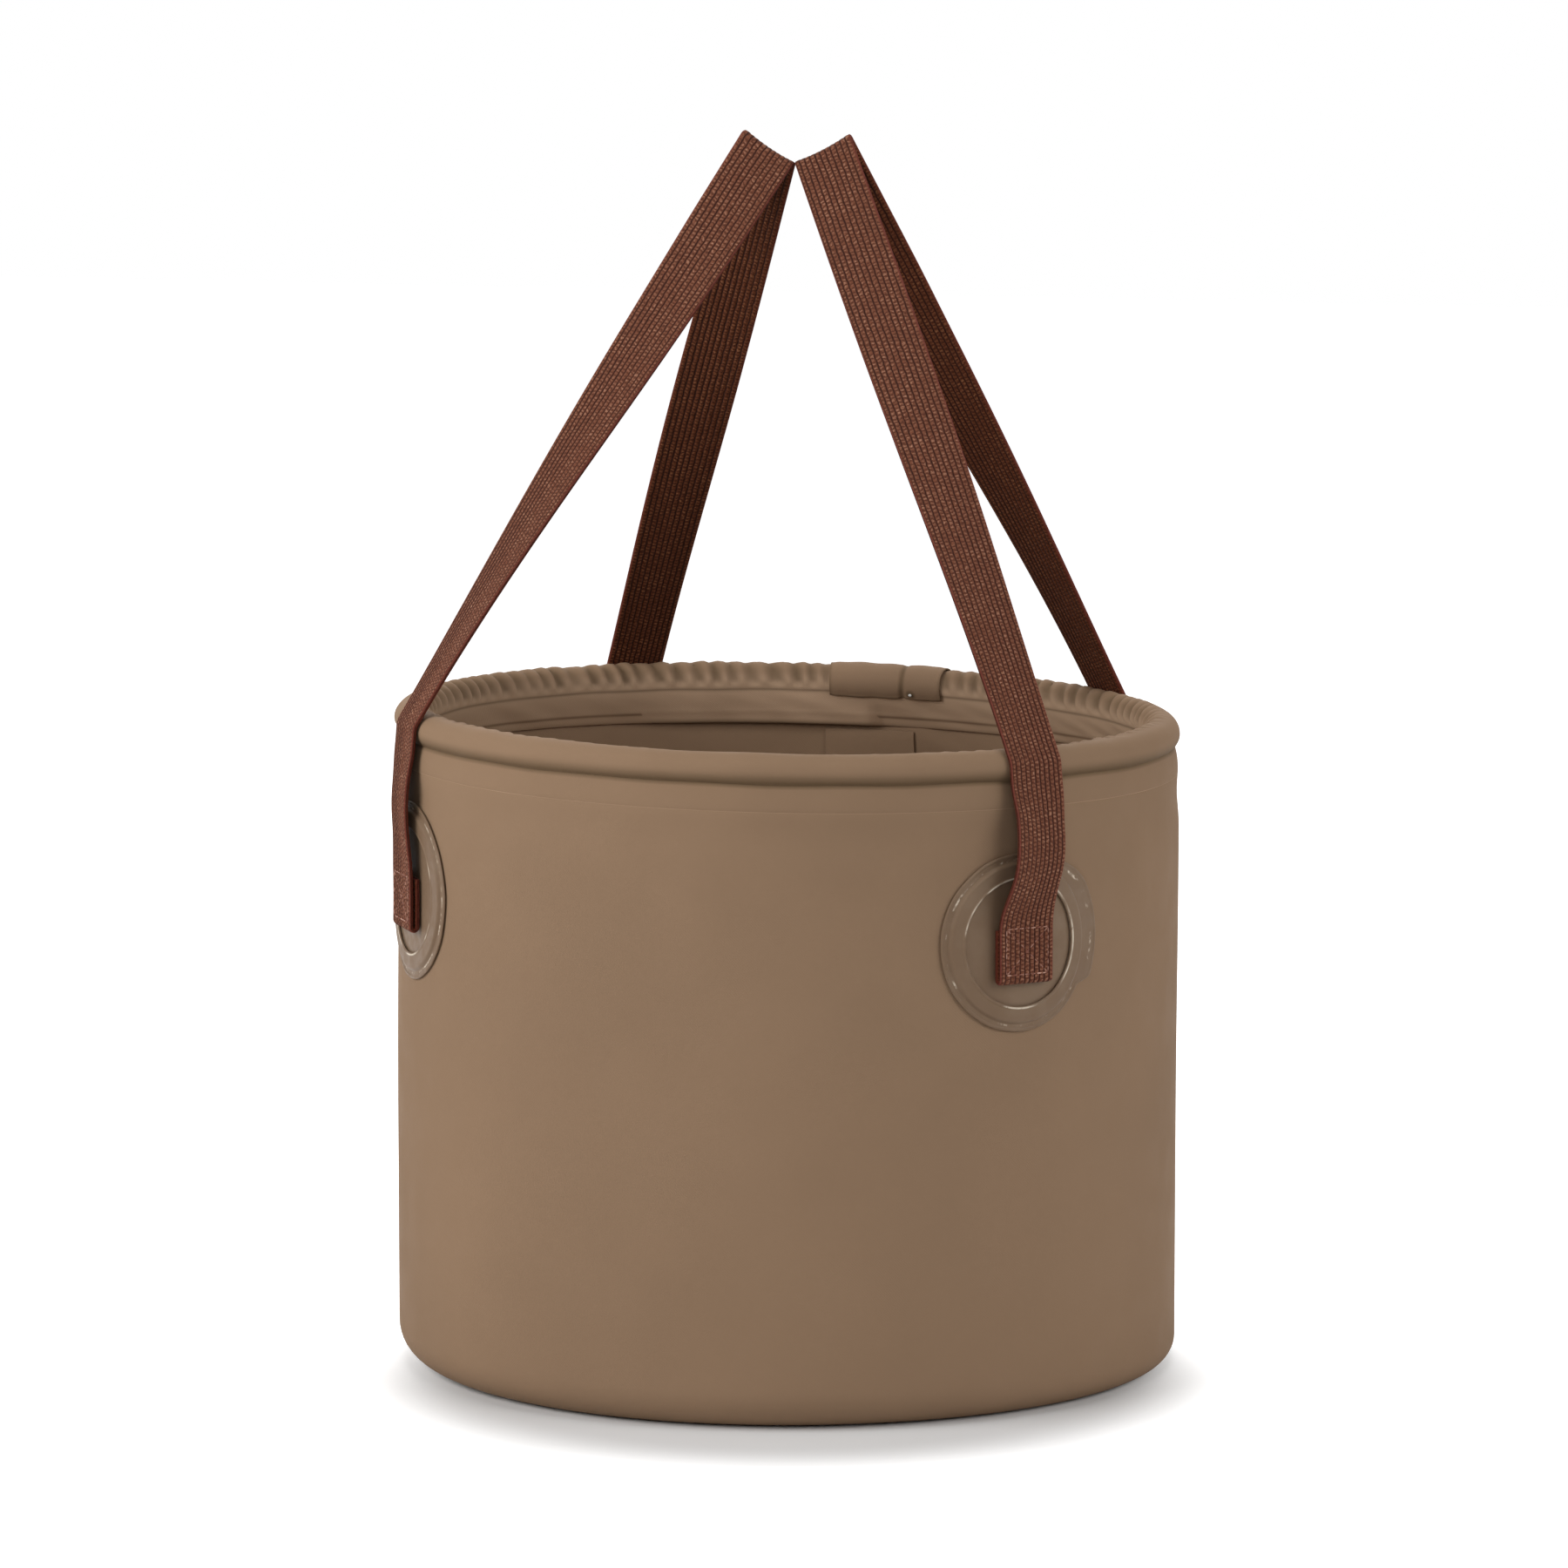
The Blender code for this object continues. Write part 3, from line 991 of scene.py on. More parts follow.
@dataclass
class RimSleeve(Assembly):
    """The hemmed sleeve round the hoop: smooth outside, gathered in puckers inside and on top."""

    columns: int = 784
    puckers: int = 112
    pucker_height: float = 0.0021
    slant: float = 1.1
    taper: tuple = (0.55, 2.6)
    taper_turns: tuple = (100, 185)
    start_turns: tuple = (66, 108)
    end_turns: tuple = (168, 204)
    late: float = 34
    late_place: tuple = (10, 118)
    lap_place: float = 180.0
    lap_width: float = 0.050
    lap: float = 0.0006
    lap_drop: float = 0.0008
    lap_end: float = 214
    joint_place: float = 177.2
    lift: float = 0.0030
    groove: float = 0.0015
    groove_drop: float = 0.0114
    leave: float = -20
    meet: float = 212
    flap_rise: float = 0.0023
    band_power: float = 1.15
    band_fold: float = 0.0005
    band_bulge: float = 0.0004
    weld_ridge: float = 0.0002
    weld_share: tuple = (0.66, 0.10)
    loose_start: tuple = (181, 184)
    loose_end: tuple = (212, 224)
    pinch: tuple = (0.0007, 0.8)
    hem_rows: tuple = (52, 64)
    pinhole: tuple = (175.6, 204.0)
    pin_size: float = 0.0008
    hoop_wall: float = 0.0018
    hoop_cut: float = 0.12
    plug_length: float = 0.050
    hoop_sides: int = 16

    @property
    def lap_sweep(self) -> float:
        """Degrees round the bucket that the lap covers."""
        return math.degrees(self.lap_width / self.form.hoop_radius)

    @property
    def groove_height(self) -> float:
        """Height of the groove under the bead."""
        return self.form.height - self.groove_drop

    def ridges(self, turn: Array, place: Array) -> Array:
        """The puckers' shape: slanted ridges like teeth, wide on top and narrow further down.

        A ridge is a power of the size of the sine of half the pucker's phase. The phase runs
        with the place, the turn round the hoop and a slow random drift, and the power grows
        with the turn.

        Args:
            turn: Degrees round the hoop, 0 outwards and 90 up.
            place: Places round the bucket in degrees.

        Returns:
            Heights from 0 in the valleys to 1.
        """
        drift = 2.6 * Wander(21, 3, 30).at(place)
        phase = np.radians(place) * self.puckers + np.radians(turn - 130) * self.slant + drift
        least, more = self.taper
        return np.abs(np.sin(phase / 2)) ** (least + more * smooth_step(*self.taper_turns, turn))

    def reach(self, turn: Array, place: Array) -> Array:
        """How strong the puckers are: none outside and under the lap, uneven round the rim.

        They start later round the hoop towards the front.

        Args:
            turn: Degrees round the hoop.
            place: Places round the bucket in degrees.

        Returns:
            Strengths from 0 to about 1.2.
        """
        middle, sweep = self.late_place
        later = self.late * hump(0, sweep, degrees_apart(place, middle))
        low, high = (start + later for start in self.start_turns)
        ring = smooth_step(low, high, turn) * (1 - smooth_step(*self.end_turns, turn))
        size = 0.80 + 0.40 * Wander(22, 8, 60).at(place)
        apart = np.abs(degrees_apart(place, self.lap_place)) / self.lap_sweep
        return ring * size * smooth_step(0.42, 0.58, apart)

    def gather(self, turn: Array, place: Array) -> Array:
        """How far the puckers stand out of the sleeve, with its middle height left alone.

        Args:
            turn: Degrees round the hoop.
            place: Places round the bucket in degrees.

        Returns:
            Distances out of the hoop's middle.
        """
        fine = np.abs(np.sin(np.radians(place) * self.puckers * 1.37 + np.radians(turn) * 2.1))
        shape = self.ridges(turn, place) - 0.5 + 0.12 * fine
        return self.pucker_height * self.reach(turn, place) * shape

    def middle(self, place: Array) -> Array:
        """Middle line of the sleeve: neck, groove, round of the bead, and the band inside.

        Args:
            place: Places in degrees.

        Returns:
            Radius and height: line, places, pair.
        """
        form = self.form
        turn = np.linspace(self.leave, self.meet, 36)[:, None]
        wobble = 0.00035 * Wander(23, 6, 26).at(place)[None, :] * smooth_step(-18, 20, turn)
        around = form.bead_mid + self.gather(turn, place[None, :]) + wobble
        bead = form.round_hoop(around, np.radians(turn))
        foot = np.array([form.wall_mid, form.wall_top + form.gap])
        groove = pair(form.wall_mid - self.groove,
                      self.groove_height + 0.0004 * Wander(28, 5, 20).at(place))
        climb = np.linspace(0, 1, 5)[:-1, None, None]
        return np.concatenate([self.bridge(foot, groove, 6, 2.6),
                               groove[None] + (bead[0] - groove)[None] * climb,
                               bead[1:], self.band(bead[-1], place)])

    def band(self, head: Array, place: Array) -> Array:
        """The flat band inside: it hangs from the bead's crease and lies back against the wall.

        The radius grows with a power of the way down, less a bulge under the crease, small
        folds and a ridge where the band is welded.

        Args:
            head: Radius and height of the bead's end at each place.
            place: Places in degrees.

        Returns:
            Points: line, places, pair, without the first.
        """
        form = self.form
        share = np.linspace(0, 1, 16)[1:, None]
        foot = pair(form.liner_mid - self.flap_lift(place), form.flap_end + self.flap_rise)
        radius = head[None, :, 0] + (foot - head)[None, :, 0] * share ** self.band_power
        height = head[None, :, 1] + (foot - head)[None, :, 1] * share
        fold = self.band_fold * Wander(25, 9, 44).at(place + 14 * share) * np.sin(math.pi * share)
        bulge = self.band_bulge * np.sin(math.pi * share) * (1 - share)
        weld = self.weld_ridge * hump(*self.weld_share, share)
        return pair(radius - fold - bulge - weld, height)

    def flap_lift(self, place: Array) -> Array:
        """How far the band's free edge stands off the wall inside, most where it hangs loose."""
        ripple = 0.5 + 0.5 * Wander(24, 10, 40).at(place)
        return self.lift * self.open_way(place) * (0.7 + 0.3 * ripple) + 0.0004 * ripple + 0.0004

    def open_way(self, place: Array) -> Array:
        """Where the band's edge hangs loose: 1 along the part left of the back seam, else 0."""
        place = place % 360
        return smooth_step(*self.loose_start, place) * (1 - smooth_step(*self.loose_end, place))

    def creases(self, section: Array, place: Array) -> Array:
        """How much painted shade each point of the sleeve gets: in the puckers' valleys, under
        the bead's crease inside, in the groove and on the bead's lower slope outside, and along
        the band's loose edge.

        Args:
            section: Outline points: outline, places, radius and height.
            place: The places in degrees.

        Returns:
            Depths from 0 to 1, in the shape of the grid.
        """
        form = self.form
        level = section[..., 1]
        across, up = section[..., 0] - form.hoop_radius, level - form.hoop_height
        turn = np.degrees(np.arctan2(up, across)) % 360
        turn = np.where(turn > 300, turn - 360, turn)
        near = np.hypot(across, up) < form.bead_mid + 2 * form.fabric + self.pucker_height
        # Painted shade in the puckers' valleys, under the bead inside, in the groove, on the
        # bead's lower slope outside and along the band's loose edge.
        pits = (1 - self.ridges(turn, place)) * np.clip(self.reach(turn, place), 0, 1) * near
        under = hump(self.meet, 9, turn) * near * 0.8
        low = self.groove_height
        groove = hump(low, 0.0014, level) * 0.35
        shaded = 1 - smooth_step(low, form.hoop_height + 0.001, level)
        outside = (across > 0) * (groove + shaded * (level > low - 0.0004))
        edge = hump(form.flap_end + self.flap_rise, 0.0013, level) * (across < 0.004)
        loose = 0.3 + 0.7 * self.open_way(place)
        return np.clip(pits + under + outside + edge * loose * ~near, 0, 1)

    def inside(self, section: Array) -> Array:
        """Which points of the sleeve belong to the band that faces the bucket's inside, where
        light is painted.

        Args:
            section: Outline points: outline, places, radius and height.

        Returns:
            Shares from 0 to 1.
        """
        form = self.form
        below = 1 - smooth_step(-0.002, 0.005, section[..., 1] - form.hoop_height)
        return below * ((section[..., 0] < form.hoop_radius) | (section[..., 1] < form.wall_top))

    @staticmethod
    def bridge(start: Array, ends: Array, count: int, power: float) -> Array:
        """Curved run up from one point to others, without its last point.

        It leaves the start upright: the radius follows a power of the way.

        Args:
            start: Radius and height of the start.
            ends: Radius and height of the end at each place.
            count: Number of points.
            power: The power.

        Returns:
            Points: line, places, pair.
        """
        share = np.linspace(0, 1, count + 1)[:-1, None]
        return pair(start[0] + (ends[None, :, 0] - start[0]) * share ** power,
                    start[1] + (ends[None, :, 1] - start[1]) * share)

    def build(self) -> None:
        """Make the sleeve, the lap over its joint, the hoop in it and the plug in the hoop."""
        cloth, plastic = self.finishes.cloth, self.finishes.plastic
        place = all_round(self.columns)
        section = sheet_section(self.middle(place), self.form.fabric / 2)
        sleeve = self.form.sweep("rim_sleeve", section, place, turned=True)
        # Painted shade in the sleeve's creases, valleys and groove.
        note(sleeve, "Crease", self.creases(section, place))
        # Painted light on the band that faces the bucket's inside.
        note(sleeve, "Inside", self.inside(section))
        dress(sleeve, cloth, Slot.CLOTH, "rim", "rim_hem")
        dress(self.lap_strip(), cloth, Slot.CLOTH, "rim", "hem_lap")
        dress(self.hoop_tube(), plastic, Slot.PLASTIC, "rim", "rim_hoop")
        dress(self.hoop_plug(), plastic, Slot.PLASTIC, "rim", "hoop_joiner")
        dress(self.pin_dot(), plastic, Slot.PLASTIC, "rim")

    def lap_strip(self) -> Object:
        """The smooth strip wrapped over the sleeve's joint at the back, pinched at the joint,
        with painted shade at the joint, along its edges and hem, and in its pinhole.

        Returns:
            The strip.
        """
        form, sweep = self.form, self.lap_sweep
        place = self.lap_place + np.linspace(-sweep / 2, sweep / 2, 121)
        turn = np.radians(np.linspace(self.leave + 3, self.lap_end, 50))[:, None]
        around = form.bead_mid + form.fabric / 2 + form.gap + self.lap / 2
        side = np.abs(degrees_apart(place, self.lap_place)) / sweep
        puff = 0.0006 * smooth_step(0.5, 0.42, side) + 0.0003 * Wander(26, 20, 80).at(place)
        beside = degrees_apart(place, self.joint_place)
        depth, sides = self.pinch
        joint = depth * hump(0, sides, beside)
        around = around + (puff - joint) * smooth_step(60, 100, np.degrees(turn))
        arc = form.round_hoop(around, turn)
        drop = np.linspace(0, 1, 9)[1:, None]
        ragged = self.lap_drop * (1 + 0.12 * Wander(27, 14, 60).at(place))
        hang = pair(arc[-1, :, 0] + 0.0004 * drop, arc[-1, :, 1] - ragged * drop)
        section = sheet_section(np.concatenate([arc, hang]), self.lap / 2)
        strip = form.sweep("sleeve_lap", section, place, turned=False)
        # Painted shade: at the pinched joint, along the strip's edges and hem, and in the
        # pinhole.
        split = hump(0, 0.7, beside)[None, :]
        edge = smooth_step(0.47, 0.5, side)[None, :]
        rows, (first, last) = np.arange(section.shape[0])[:, None], self.hem_rows
        hem = (rows > first) * (rows < last)
        spot, spot_turn = self.pinhole
        turned = np.degrees(np.arctan2(section[..., 1] - form.hoop_height,
                                       section[..., 0] - form.hoop_radius)) % 360
        hole = hump(0, 1.2, np.hypot(degrees_apart(place, spot), (turned - spot_turn) / 14))
        note(strip, "Crease", np.clip(0.8 * split + 0.5 * edge + 0.6 * hem + 1.6 * hole, 0, 1))
        return strip

    def pin_dot(self) -> Object:
        """A speck of the pale hoop that shows through the pinhole at the lap's joint.

        Returns:
            The speck.
        """
        form, size = self.form, self.pin_size
        spot, spot_turn = self.pinhole
        around = form.bead_mid + form.fabric / 2 + form.gap + self.lap + 0.0011
        turn = math.radians(spot_turn)
        spin = np.radians(np.linspace(0, 360, 13)[:-1])[:, None]
        tilt = np.radians(np.linspace(4, 176, 9))
        radius = form.hoop_radius + around * math.cos(turn) + size * np.cos(tilt) * 0.3
        up = form.hoop_height + around * math.sin(turn) + size * np.sin(tilt) * np.sin(spin) * 0.7
        place = spot + np.degrees(size * np.sin(tilt) * np.cos(spin) / form.hoop_radius)
        points = form.drooped(stand(radius, up, place))
        flat = np.zeros((points.shape[0] + 1, points.shape[1] + 1, 2))
        return grid_piece("pin_dot", points, flat, turned=False)

    def hoop_round(self, size: float) -> Array:
        """Radius and height of points round the hoop's middle at a distance."""
        turn = np.radians(np.linspace(0, 360, self.hoop_sides + 1)[:-1])
        return self.form.round_hoop(size, turn)

    def hoop_tube(self) -> Object:
        """The hoop: a bored tube, cut once at the back, whose outside and bore make one grid.

        Returns:
            The tube.
        """
        form = self.form
        place = np.linspace(180 + self.hoop_cut, 540 - self.hoop_cut, 241)
        rounds = map(self.hoop_round, (form.hoop_tube, form.hoop_tube - self.hoop_wall))
        out, back = (form.drooped(stand(ring[:, None, 0], ring[:, None, 1], place))
                     for ring in rounds)
        points = np.concatenate([out, back[:, ::-1]], axis=1)
        flat = pair(np.linspace(0, 2 * TAU * form.hoop_radius, points.shape[1] + 1)[None, :],
                    np.linspace(0, TAU * form.hoop_tube, points.shape[0] + 1)[:, None])
        return grid_piece("hoop_tube", points, flat, turned=True)

    def hoop_plug(self) -> Object:
        """The plug in both ends of the hoop.

        Returns:
            The plug.
        """
        form = self.form
        line = self.hoop_round(form.hoop_tube - self.hoop_wall - form.gap)
        sweep = math.degrees(self.plug_length / form.hoop_radius)
        place = 180 + np.linspace(-sweep / 2, sweep / 2, 17)
        section = np.broadcast_to(line[:, None, :], (self.hoop_sides, place.size, 2))
        return form.sweep("hoop_plug", section, place, turned=False)


@dataclass
class WeldedPatch(Assembly):
    """A round patch: the disc that carries the webbing, and the ring welded over its edge."""

    wall: WallShell
    corner: Corner
    window: float = 0.025
    disc: float = 0.030
    film: float = 0.0008
    step: float = 0.0015
    lip: float = 0.00028
    lip_width: float = 0.0007
    wide_cut: float = 0.0052
    wide_start: tuple = (15, 62)
    wide_end: tuple = (112, 124)
    cut_inset: float = 0.0007
    cut_wobble: float = 0.00022
    columns: int = 240

    @property
    def turn(self) -> Array:
        """Radians round the patch's middle from its top, one for each column."""
        return np.arange(self.columns) * (TAU / self.columns)

    def lay(self, reach: Array, stand_off: Array) -> Array:
        """Lay points of a reach from the patch's middle and a stand-off on the round wall.

        The way round the wall is an arc length over the body's radius, and the turn about the
        patch's middle starts at the top.

        Args:
            reach: Distances from the patch's middle: outline, columns.
            stand_off: Distances out of the wall's face.

        Returns:
            Points: outline, columns, XYZ.
        """
        form, seat = self.form, self.corner.seat
        place = self.corner.place + np.degrees(reach * np.sin(self.turn) / form.body_radius)
        height = form.patch_height + seat.lift + reach * np.cos(self.turn)
        swelled = form.body_radius + stand_off + self.wall.surface(place, height)
        return form.drooped(stand(swelled, height, place))

    def flat_map(self, reach: Array) -> Array:
        """Pattern map of a turned outline: its turn's length and its reach, in metres.

        Args:
            reach: Distances from the middle: outline, columns.

        Returns:
            The map, closed in both directions.
        """
        closed = np.concatenate([reach, reach[:1]])
        closed = np.concatenate([closed, closed[:, :1]], axis=1)
        way = np.linspace(0, TAU * self.form.patch_radius, self.columns + 1)[None, :]
        return pair(way, closed)

    def outer_edge(self) -> Array:
        """Reach of the ring's cut edge: nearly round, and wider on one side of the right front.

        Returns:
            Distances from the patch's middle, one for each column.
        """
        turn = np.degrees(self.turn)
        wobble = self.cut_wobble * Wander(self.corner.value + 200, 3, 14).at(turn)
        edge = self.form.patch_radius - self.cut_inset + wobble
        if self.corner is Corner.FRONT_RIGHT:
            wide = smooth_step(*self.wide_start, turn) * (1 - smooth_step(*self.wide_end, turn))
            edge = edge + self.wide_cut * wide
        return edge

    def ring_line(self) -> Array:
        """Middle line of the ring: high over the disc, a soft step, low on the wall.

        Returns:
            Reach and stand-off: line, columns, pair.
        """
        form = self.form
        low = form.gap + self.film / 2
        high = low + self.film + form.gap
        rim = self.outer_edge()
        share = np.linspace(0, 1, 44)[:, None]
        reach = self.window + (rim[None, :] - self.window) * share
        shoulder = self.disc + form.gap
        off = high + (low - high) * smooth_step(shoulder, shoulder + self.step, reach)
        crumbs = 0.75 + 0.4 * Wander(self.corner.value + 300, 20, 90).at(np.degrees(self.turn))
        outer_lip = hump(0, self.lip_width, rim[None, :] - reach - self.lip_width / 2)
        inner_lip = hump(0, self.lip_width, reach - self.window - self.lip_width / 2)
        return pair(reach, off + self.lip * (outer_lip * crumbs[None, :] + 0.8 * inner_lip))

    def build(self) -> None:
        """Make the disc and the ring, with the ring's map evened to one cut."""
        form, label = self.form, self.corner.label
        share = np.linspace(0.01, 1, 30)[:, None] + np.zeros(self.columns)
        disc = pair(self.disc * share, form.gap + self.film / 2)
        cut = (form.patch_radius - self.window) / (self.outer_edge() - self.window)
        for name, node, middle, evened in (("patch_disc", "patch_backing", disc, 1.0),
                                           ("patch_band", "patch_ring", self.ring_line(), cut)):
            section = sheet_section(middle, self.film / 2)
            points = self.lay(section[..., 0], section[..., 1])
            flat = self.flat_map(self.window + (section[..., 0] - self.window) * evened)
            piece = grid_piece(f"{name}_{label}", points, flat, turned=True)
            dress(piece, self.finishes.film, Slot.FILM, "strap_anchors", f"{node}_{label}")


@dataclass
class WebbingLoop(Assembly):
    """A handle: one strap, folded double and sewn at both ends and folded sharply at the top.

    Its middle is worked out on the right side, with the front corner first, and then mirrored.
    """

    side: Side
    width: float = 0.025
    thick: float = 0.0018
    ribs: int = 11
    rib_depth: float = 0.00016
    stitch_top: float = 0.190
    stitch_bottom: float = 0.170
    stitch_half: float = 0.0098
    stitch_inset: tuple = (0.0030, 0.0008)
    patch_gap: float = 0.0014
    tab_gap: float = 0.0007
    slack_height: float = 0.216
    grip_height: float = 0.4832
    fold_radius: float = 0.0016
    fold_tilt: float = 4.0
    saddle: float = 0.0010
    saddle_reach: float = 0.016
    lean: float = 0.0036
    nearer: float = 0.0003
    bow: float = 0.003
    bend_start: float = 0.004
    bend_over: float = 0.028
    tip_start: float = 0.02
    tip_end: tuple = (0.232, 0.247)
    meet: float = 4.0

    @property
    def corners(self) -> tuple[Corner, Corner]:
        """The front and back corners that the handle hangs on."""
        return Corner[f"FRONT_{self.side.name}"], Corner[f"BACK_{self.side.name}"]

    @property
    def inner_layer(self) -> float:
        """Radius of the middle of the layer that lies on the patch."""
        return self.form.body_radius + self.patch_gap + self.thick / 2

    @property
    def outer_layer(self) -> float:
        """Radius of the middle of the layer that goes up to the rim."""
        return self.inner_layer + self.thick + self.tab_gap

    @property
    def bead_reach(self) -> float:
        """Distance from the hoop's middle to the strap's middle where it bends over the bead."""
        return self.form.bead_mid + self.form.fabric / 2 + self.form.gap + self.thick / 2

    def tab(self, corner: Corner) -> Array:
        """The doubled end: down the inner layer, round the fold and up to the stitches' top.

        Args:
            corner: The corner that the end is sewn to.

        Returns:
            Radius, height and place of each point.
        """
        bend = (self.outer_layer - self.inner_layer) / 2
        turn = np.radians(np.linspace(180, 360, 11))
        down = np.linspace(self.stitch_top, self.stitch_bottom + bend, 8)[:-1]
        up = np.linspace(self.stitch_bottom + bend, self.stitch_top, 12)[1:-1]
        radius = np.concatenate([np.full(down.size, self.inner_layer),
                                 self.inner_layer + bend * (1 + np.cos(turn)),
                                 np.full(up.size, self.outer_layer)])
        height = np.concatenate([down, self.stitch_bottom + bend * (1 + np.sin(turn)), up])
        place = np.full(radius.size, abs(corner.place))
        return np.stack([radius, height + corner.seat.lift, place], axis=-1)

    def rise(self, corner: Corner, top: Array) -> Array:
        """The slack run from the stitches up to the bead, and the bend over it.

        Two cubics join the stitching, the slack's widest point and the bead, upright at the
        first two and along the bead's round at the last, and the place drifts on the way.

        Args:
            corner: The corner that the end is sewn to.
            top: The point that the strap heads for above the rim.

        Returns:
            Radius, height and place of each point.
        """
        form, seat = self.form, corner.seat
        low = self.stitch_top + seat.lift
        place = abs(corner.place) + seat.drift
        outward = stand(np.array(1.0), np.array(0.0), np.array(place))
        across, up = float(top @ outward) - form.hoop_radius, top[2] - form.hoop_height
        leave = math.atan2(up, across) - math.acos(self.bead_reach / math.hypot(across, up))
        meet = math.radians(self.meet)
        wide = (self.outer_layer + seat.slack, self.slack_height + seat.lift / 2)
        end = (form.hoop_radius + self.bead_reach * math.cos(meet),
               form.hoop_height + self.bead_reach * math.sin(meet))
        lower = self.cubic((self.outer_layer, low), wide, 0.0, 16)
        upper = self.cubic(wide, end, -math.tan(meet), 20)
        over = form.round_hoop(self.bead_reach, np.linspace(meet, leave, 10))
        line = np.concatenate([lower[:-1], upper[:-1], over])
        share = smooth_step(low, form.hoop_height, line[:, 1])
        return np.column_stack([line, place - seat.drift * (1 - share)])

    @staticmethod
    def cubic(start: tuple, end: tuple, slope: float, count: int) -> Array:
        """Radius as a cubic of the height between two points, upright at the first.

        Args:
            start: Radius and height of the start.
            end: Radius and height of the end.
            slope: Radius per height at the end.
            count: Number of points.

        Returns:
            Radius and height of each point.
        """
        share = np.linspace(0, 1, count)
        rise = end[1] - start[1]
        radius = ((2 * share ** 3 - 3 * share ** 2 + 1) * start[0]
                  + (3 * share ** 2 - 2 * share ** 3) * end[0]
                  + (share ** 3 - share ** 2) * rise * slope)
        return pair(radius, start[1] + rise * share)

    def fold_points(self, corner: Array, front: Array, back: Array) -> Array:
        """The small round that replaces the corner between the two legs.

        Args:
            corner: Where the legs' middles would meet.
            front: A point down the front leg.
            back: A point down the back leg.

        Returns:
            Points from the front leg to the back one.
        """
        down = unit(np.stack([front - corner, back - corner]))
        half = math.acos(float(down[0] @ down[1])) / 2
        middle, square = unit(down[0] + down[1]), unit(down[0] - down[1])
        centre = corner + middle * (self.fold_radius / math.sin(half))
        turn = np.linspace(1, -1, 17)[:, None] * (math.pi / 2 - half)
        return centre + self.fold_radius * (square * np.sin(turn) - middle * np.cos(turn))

    def rim_point(self, corner: Corner, top: Array) -> Array:
        """The point where the strap leaves the bead for a point above the rim."""
        return stand(*self.rise(corner, top)[-1])

    def grip(self) -> tuple[Array, Array]:
        """Where the legs meet, and the fold's direction, square to both legs.

        The corner moves sideways until the fold's inner end stands clear of the other handle.

        Returns:
            The corner and the fold's direction.
        """
        top = np.array([0.0, 0.0, self.grip_height])
        tilt = math.radians(self.fold_tilt)
        for _ in range(8):
            front, back = (self.rim_point(corner, top) for corner in self.corners)
            fold = unit(np.cross(top - front, top - back))
            square = unit(np.cross(fold, (front + back) / 2 - top))
            down = np.cross(square, fold)
            sway = math.copysign(math.sin(tilt), fold[0] * down[2])
            fold = unit(fold * math.cos(tilt) + down * sway)
            apex = self.fold_points(top, front, back)[8]
            reach = (self.form.gap + self.width * fold[0] + self.thick * fold[2]) / 2
            top[0] += reach - apex[0] + self.lean * self.side.value - self.nearer
        return top, fold

    def leg(self, corner: Corner, top: Array, head: Array, fold: Array,
            sign: int) -> tuple[Array, Array]:
        """One leg's middle from its sewn end to the fold, with its width directions.

        The width lies along the wall up to the rim and turns to the fold's direction above it,
        by the easing cubic of the way up. The leg bows inwards by the sine of that way.

        Args:
            corner: The corner that the leg is sewn to.
            top: Where the legs would meet.
            head: The fold's end on this leg.
            fold: The fold's direction.
            sign: 1 for the front leg and -1 for the back one.

        Returns:
            Points and directions.
        """
        below = np.concatenate([self.tab(corner), self.rise(corner, top)])
        radius, height, place = below.T
        low = self.stitch_top + corner.seat.lift
        free = smooth_step(low, low + self.tip_start, height)
        free = free * (1 - smooth_step(*self.tip_end, height))
        angle = np.radians(place + corner.seat.tip * free)
        level = sign * np.stack([np.cos(angle), np.sin(angle), 0 * angle], axis=-1)
        points = stand(radius, height, place)
        share = np.linspace(0, 1, 72)[1:-1, None]
        above = points[-1] + (head - points[-1]) * share
        run = unit(head - points[-1])
        inward = unit(np.array([0.0, 0.0, 1.0]) - run * run[2])
        above = above + self.bow * inward * np.sin(math.pi * share) * (1 - share)
        flat = unit(level[-1] - run * (level[-1] @ run))
        twist = math.atan2(float(np.cross(flat, fold) @ run), float(flat @ fold))
        turn = twist * (0.75 * smooth_step(0, 1, share) + 0.25 * share ** 1.6)
        widths = flat * np.cos(turn) + np.cross(run, flat) * np.sin(turn)
        return np.concatenate([points, above]), np.concatenate([level, widths])

    def path(self) -> tuple[Array, Array]:
        """The strap's middle from end to end, with its width direction at each point.

        Returns:
            Points and directions, for the right handle.
        """
        top, fold = self.grip()
        bend = self.fold_points(top, *(self.rim_point(corner, top) for corner in self.corners))
        ends = zip(self.corners, (bend[0], bend[-1]), (1, -1))
        front, back = (self.leg(corner, top, head, fold, sign) for corner, head, sign in ends)
        return (np.concatenate([front[0], bend, back[0][::-1]]),
                np.concatenate([front[1], np.broadcast_to(fold, bend.shape), back[1][::-1]]))

    def outline(self) -> tuple[Array, Array]:
        """Closed cross-section: ribbed faces, where a rib is the size of a sine, and round edges.

        The map's distance across runs over the outer face, and then back over the inner one.

        Returns:
            Distances across and out of the face for each point, and the map's distance across.
        """
        across = np.linspace(-1, 1, self.ribs * 6 + 1) * (self.width - self.thick) / 2
        share = (across / (self.width - self.thick) + 0.5) * self.ribs
        out = self.thick / 2 + self.rib_depth * (np.abs(np.sin(math.pi * share)) ** 0.7 - 0.5)
        turn = np.radians(np.linspace(90, -90, 9)[1:-1])
        edge = across[-1] + self.thick / 2 * np.cos(turn)
        side = self.thick / 2 * np.sin(turn)
        section = pair(np.concatenate([across, edge, across[::-1], -edge[::-1]]),
                       np.concatenate([out, side, -out[::-1], -side]))
        return section, np.where(section[:, 1] > 0, section[:, 0] + self.width / 2,
                                 1.5 * self.width - section[:, 0])

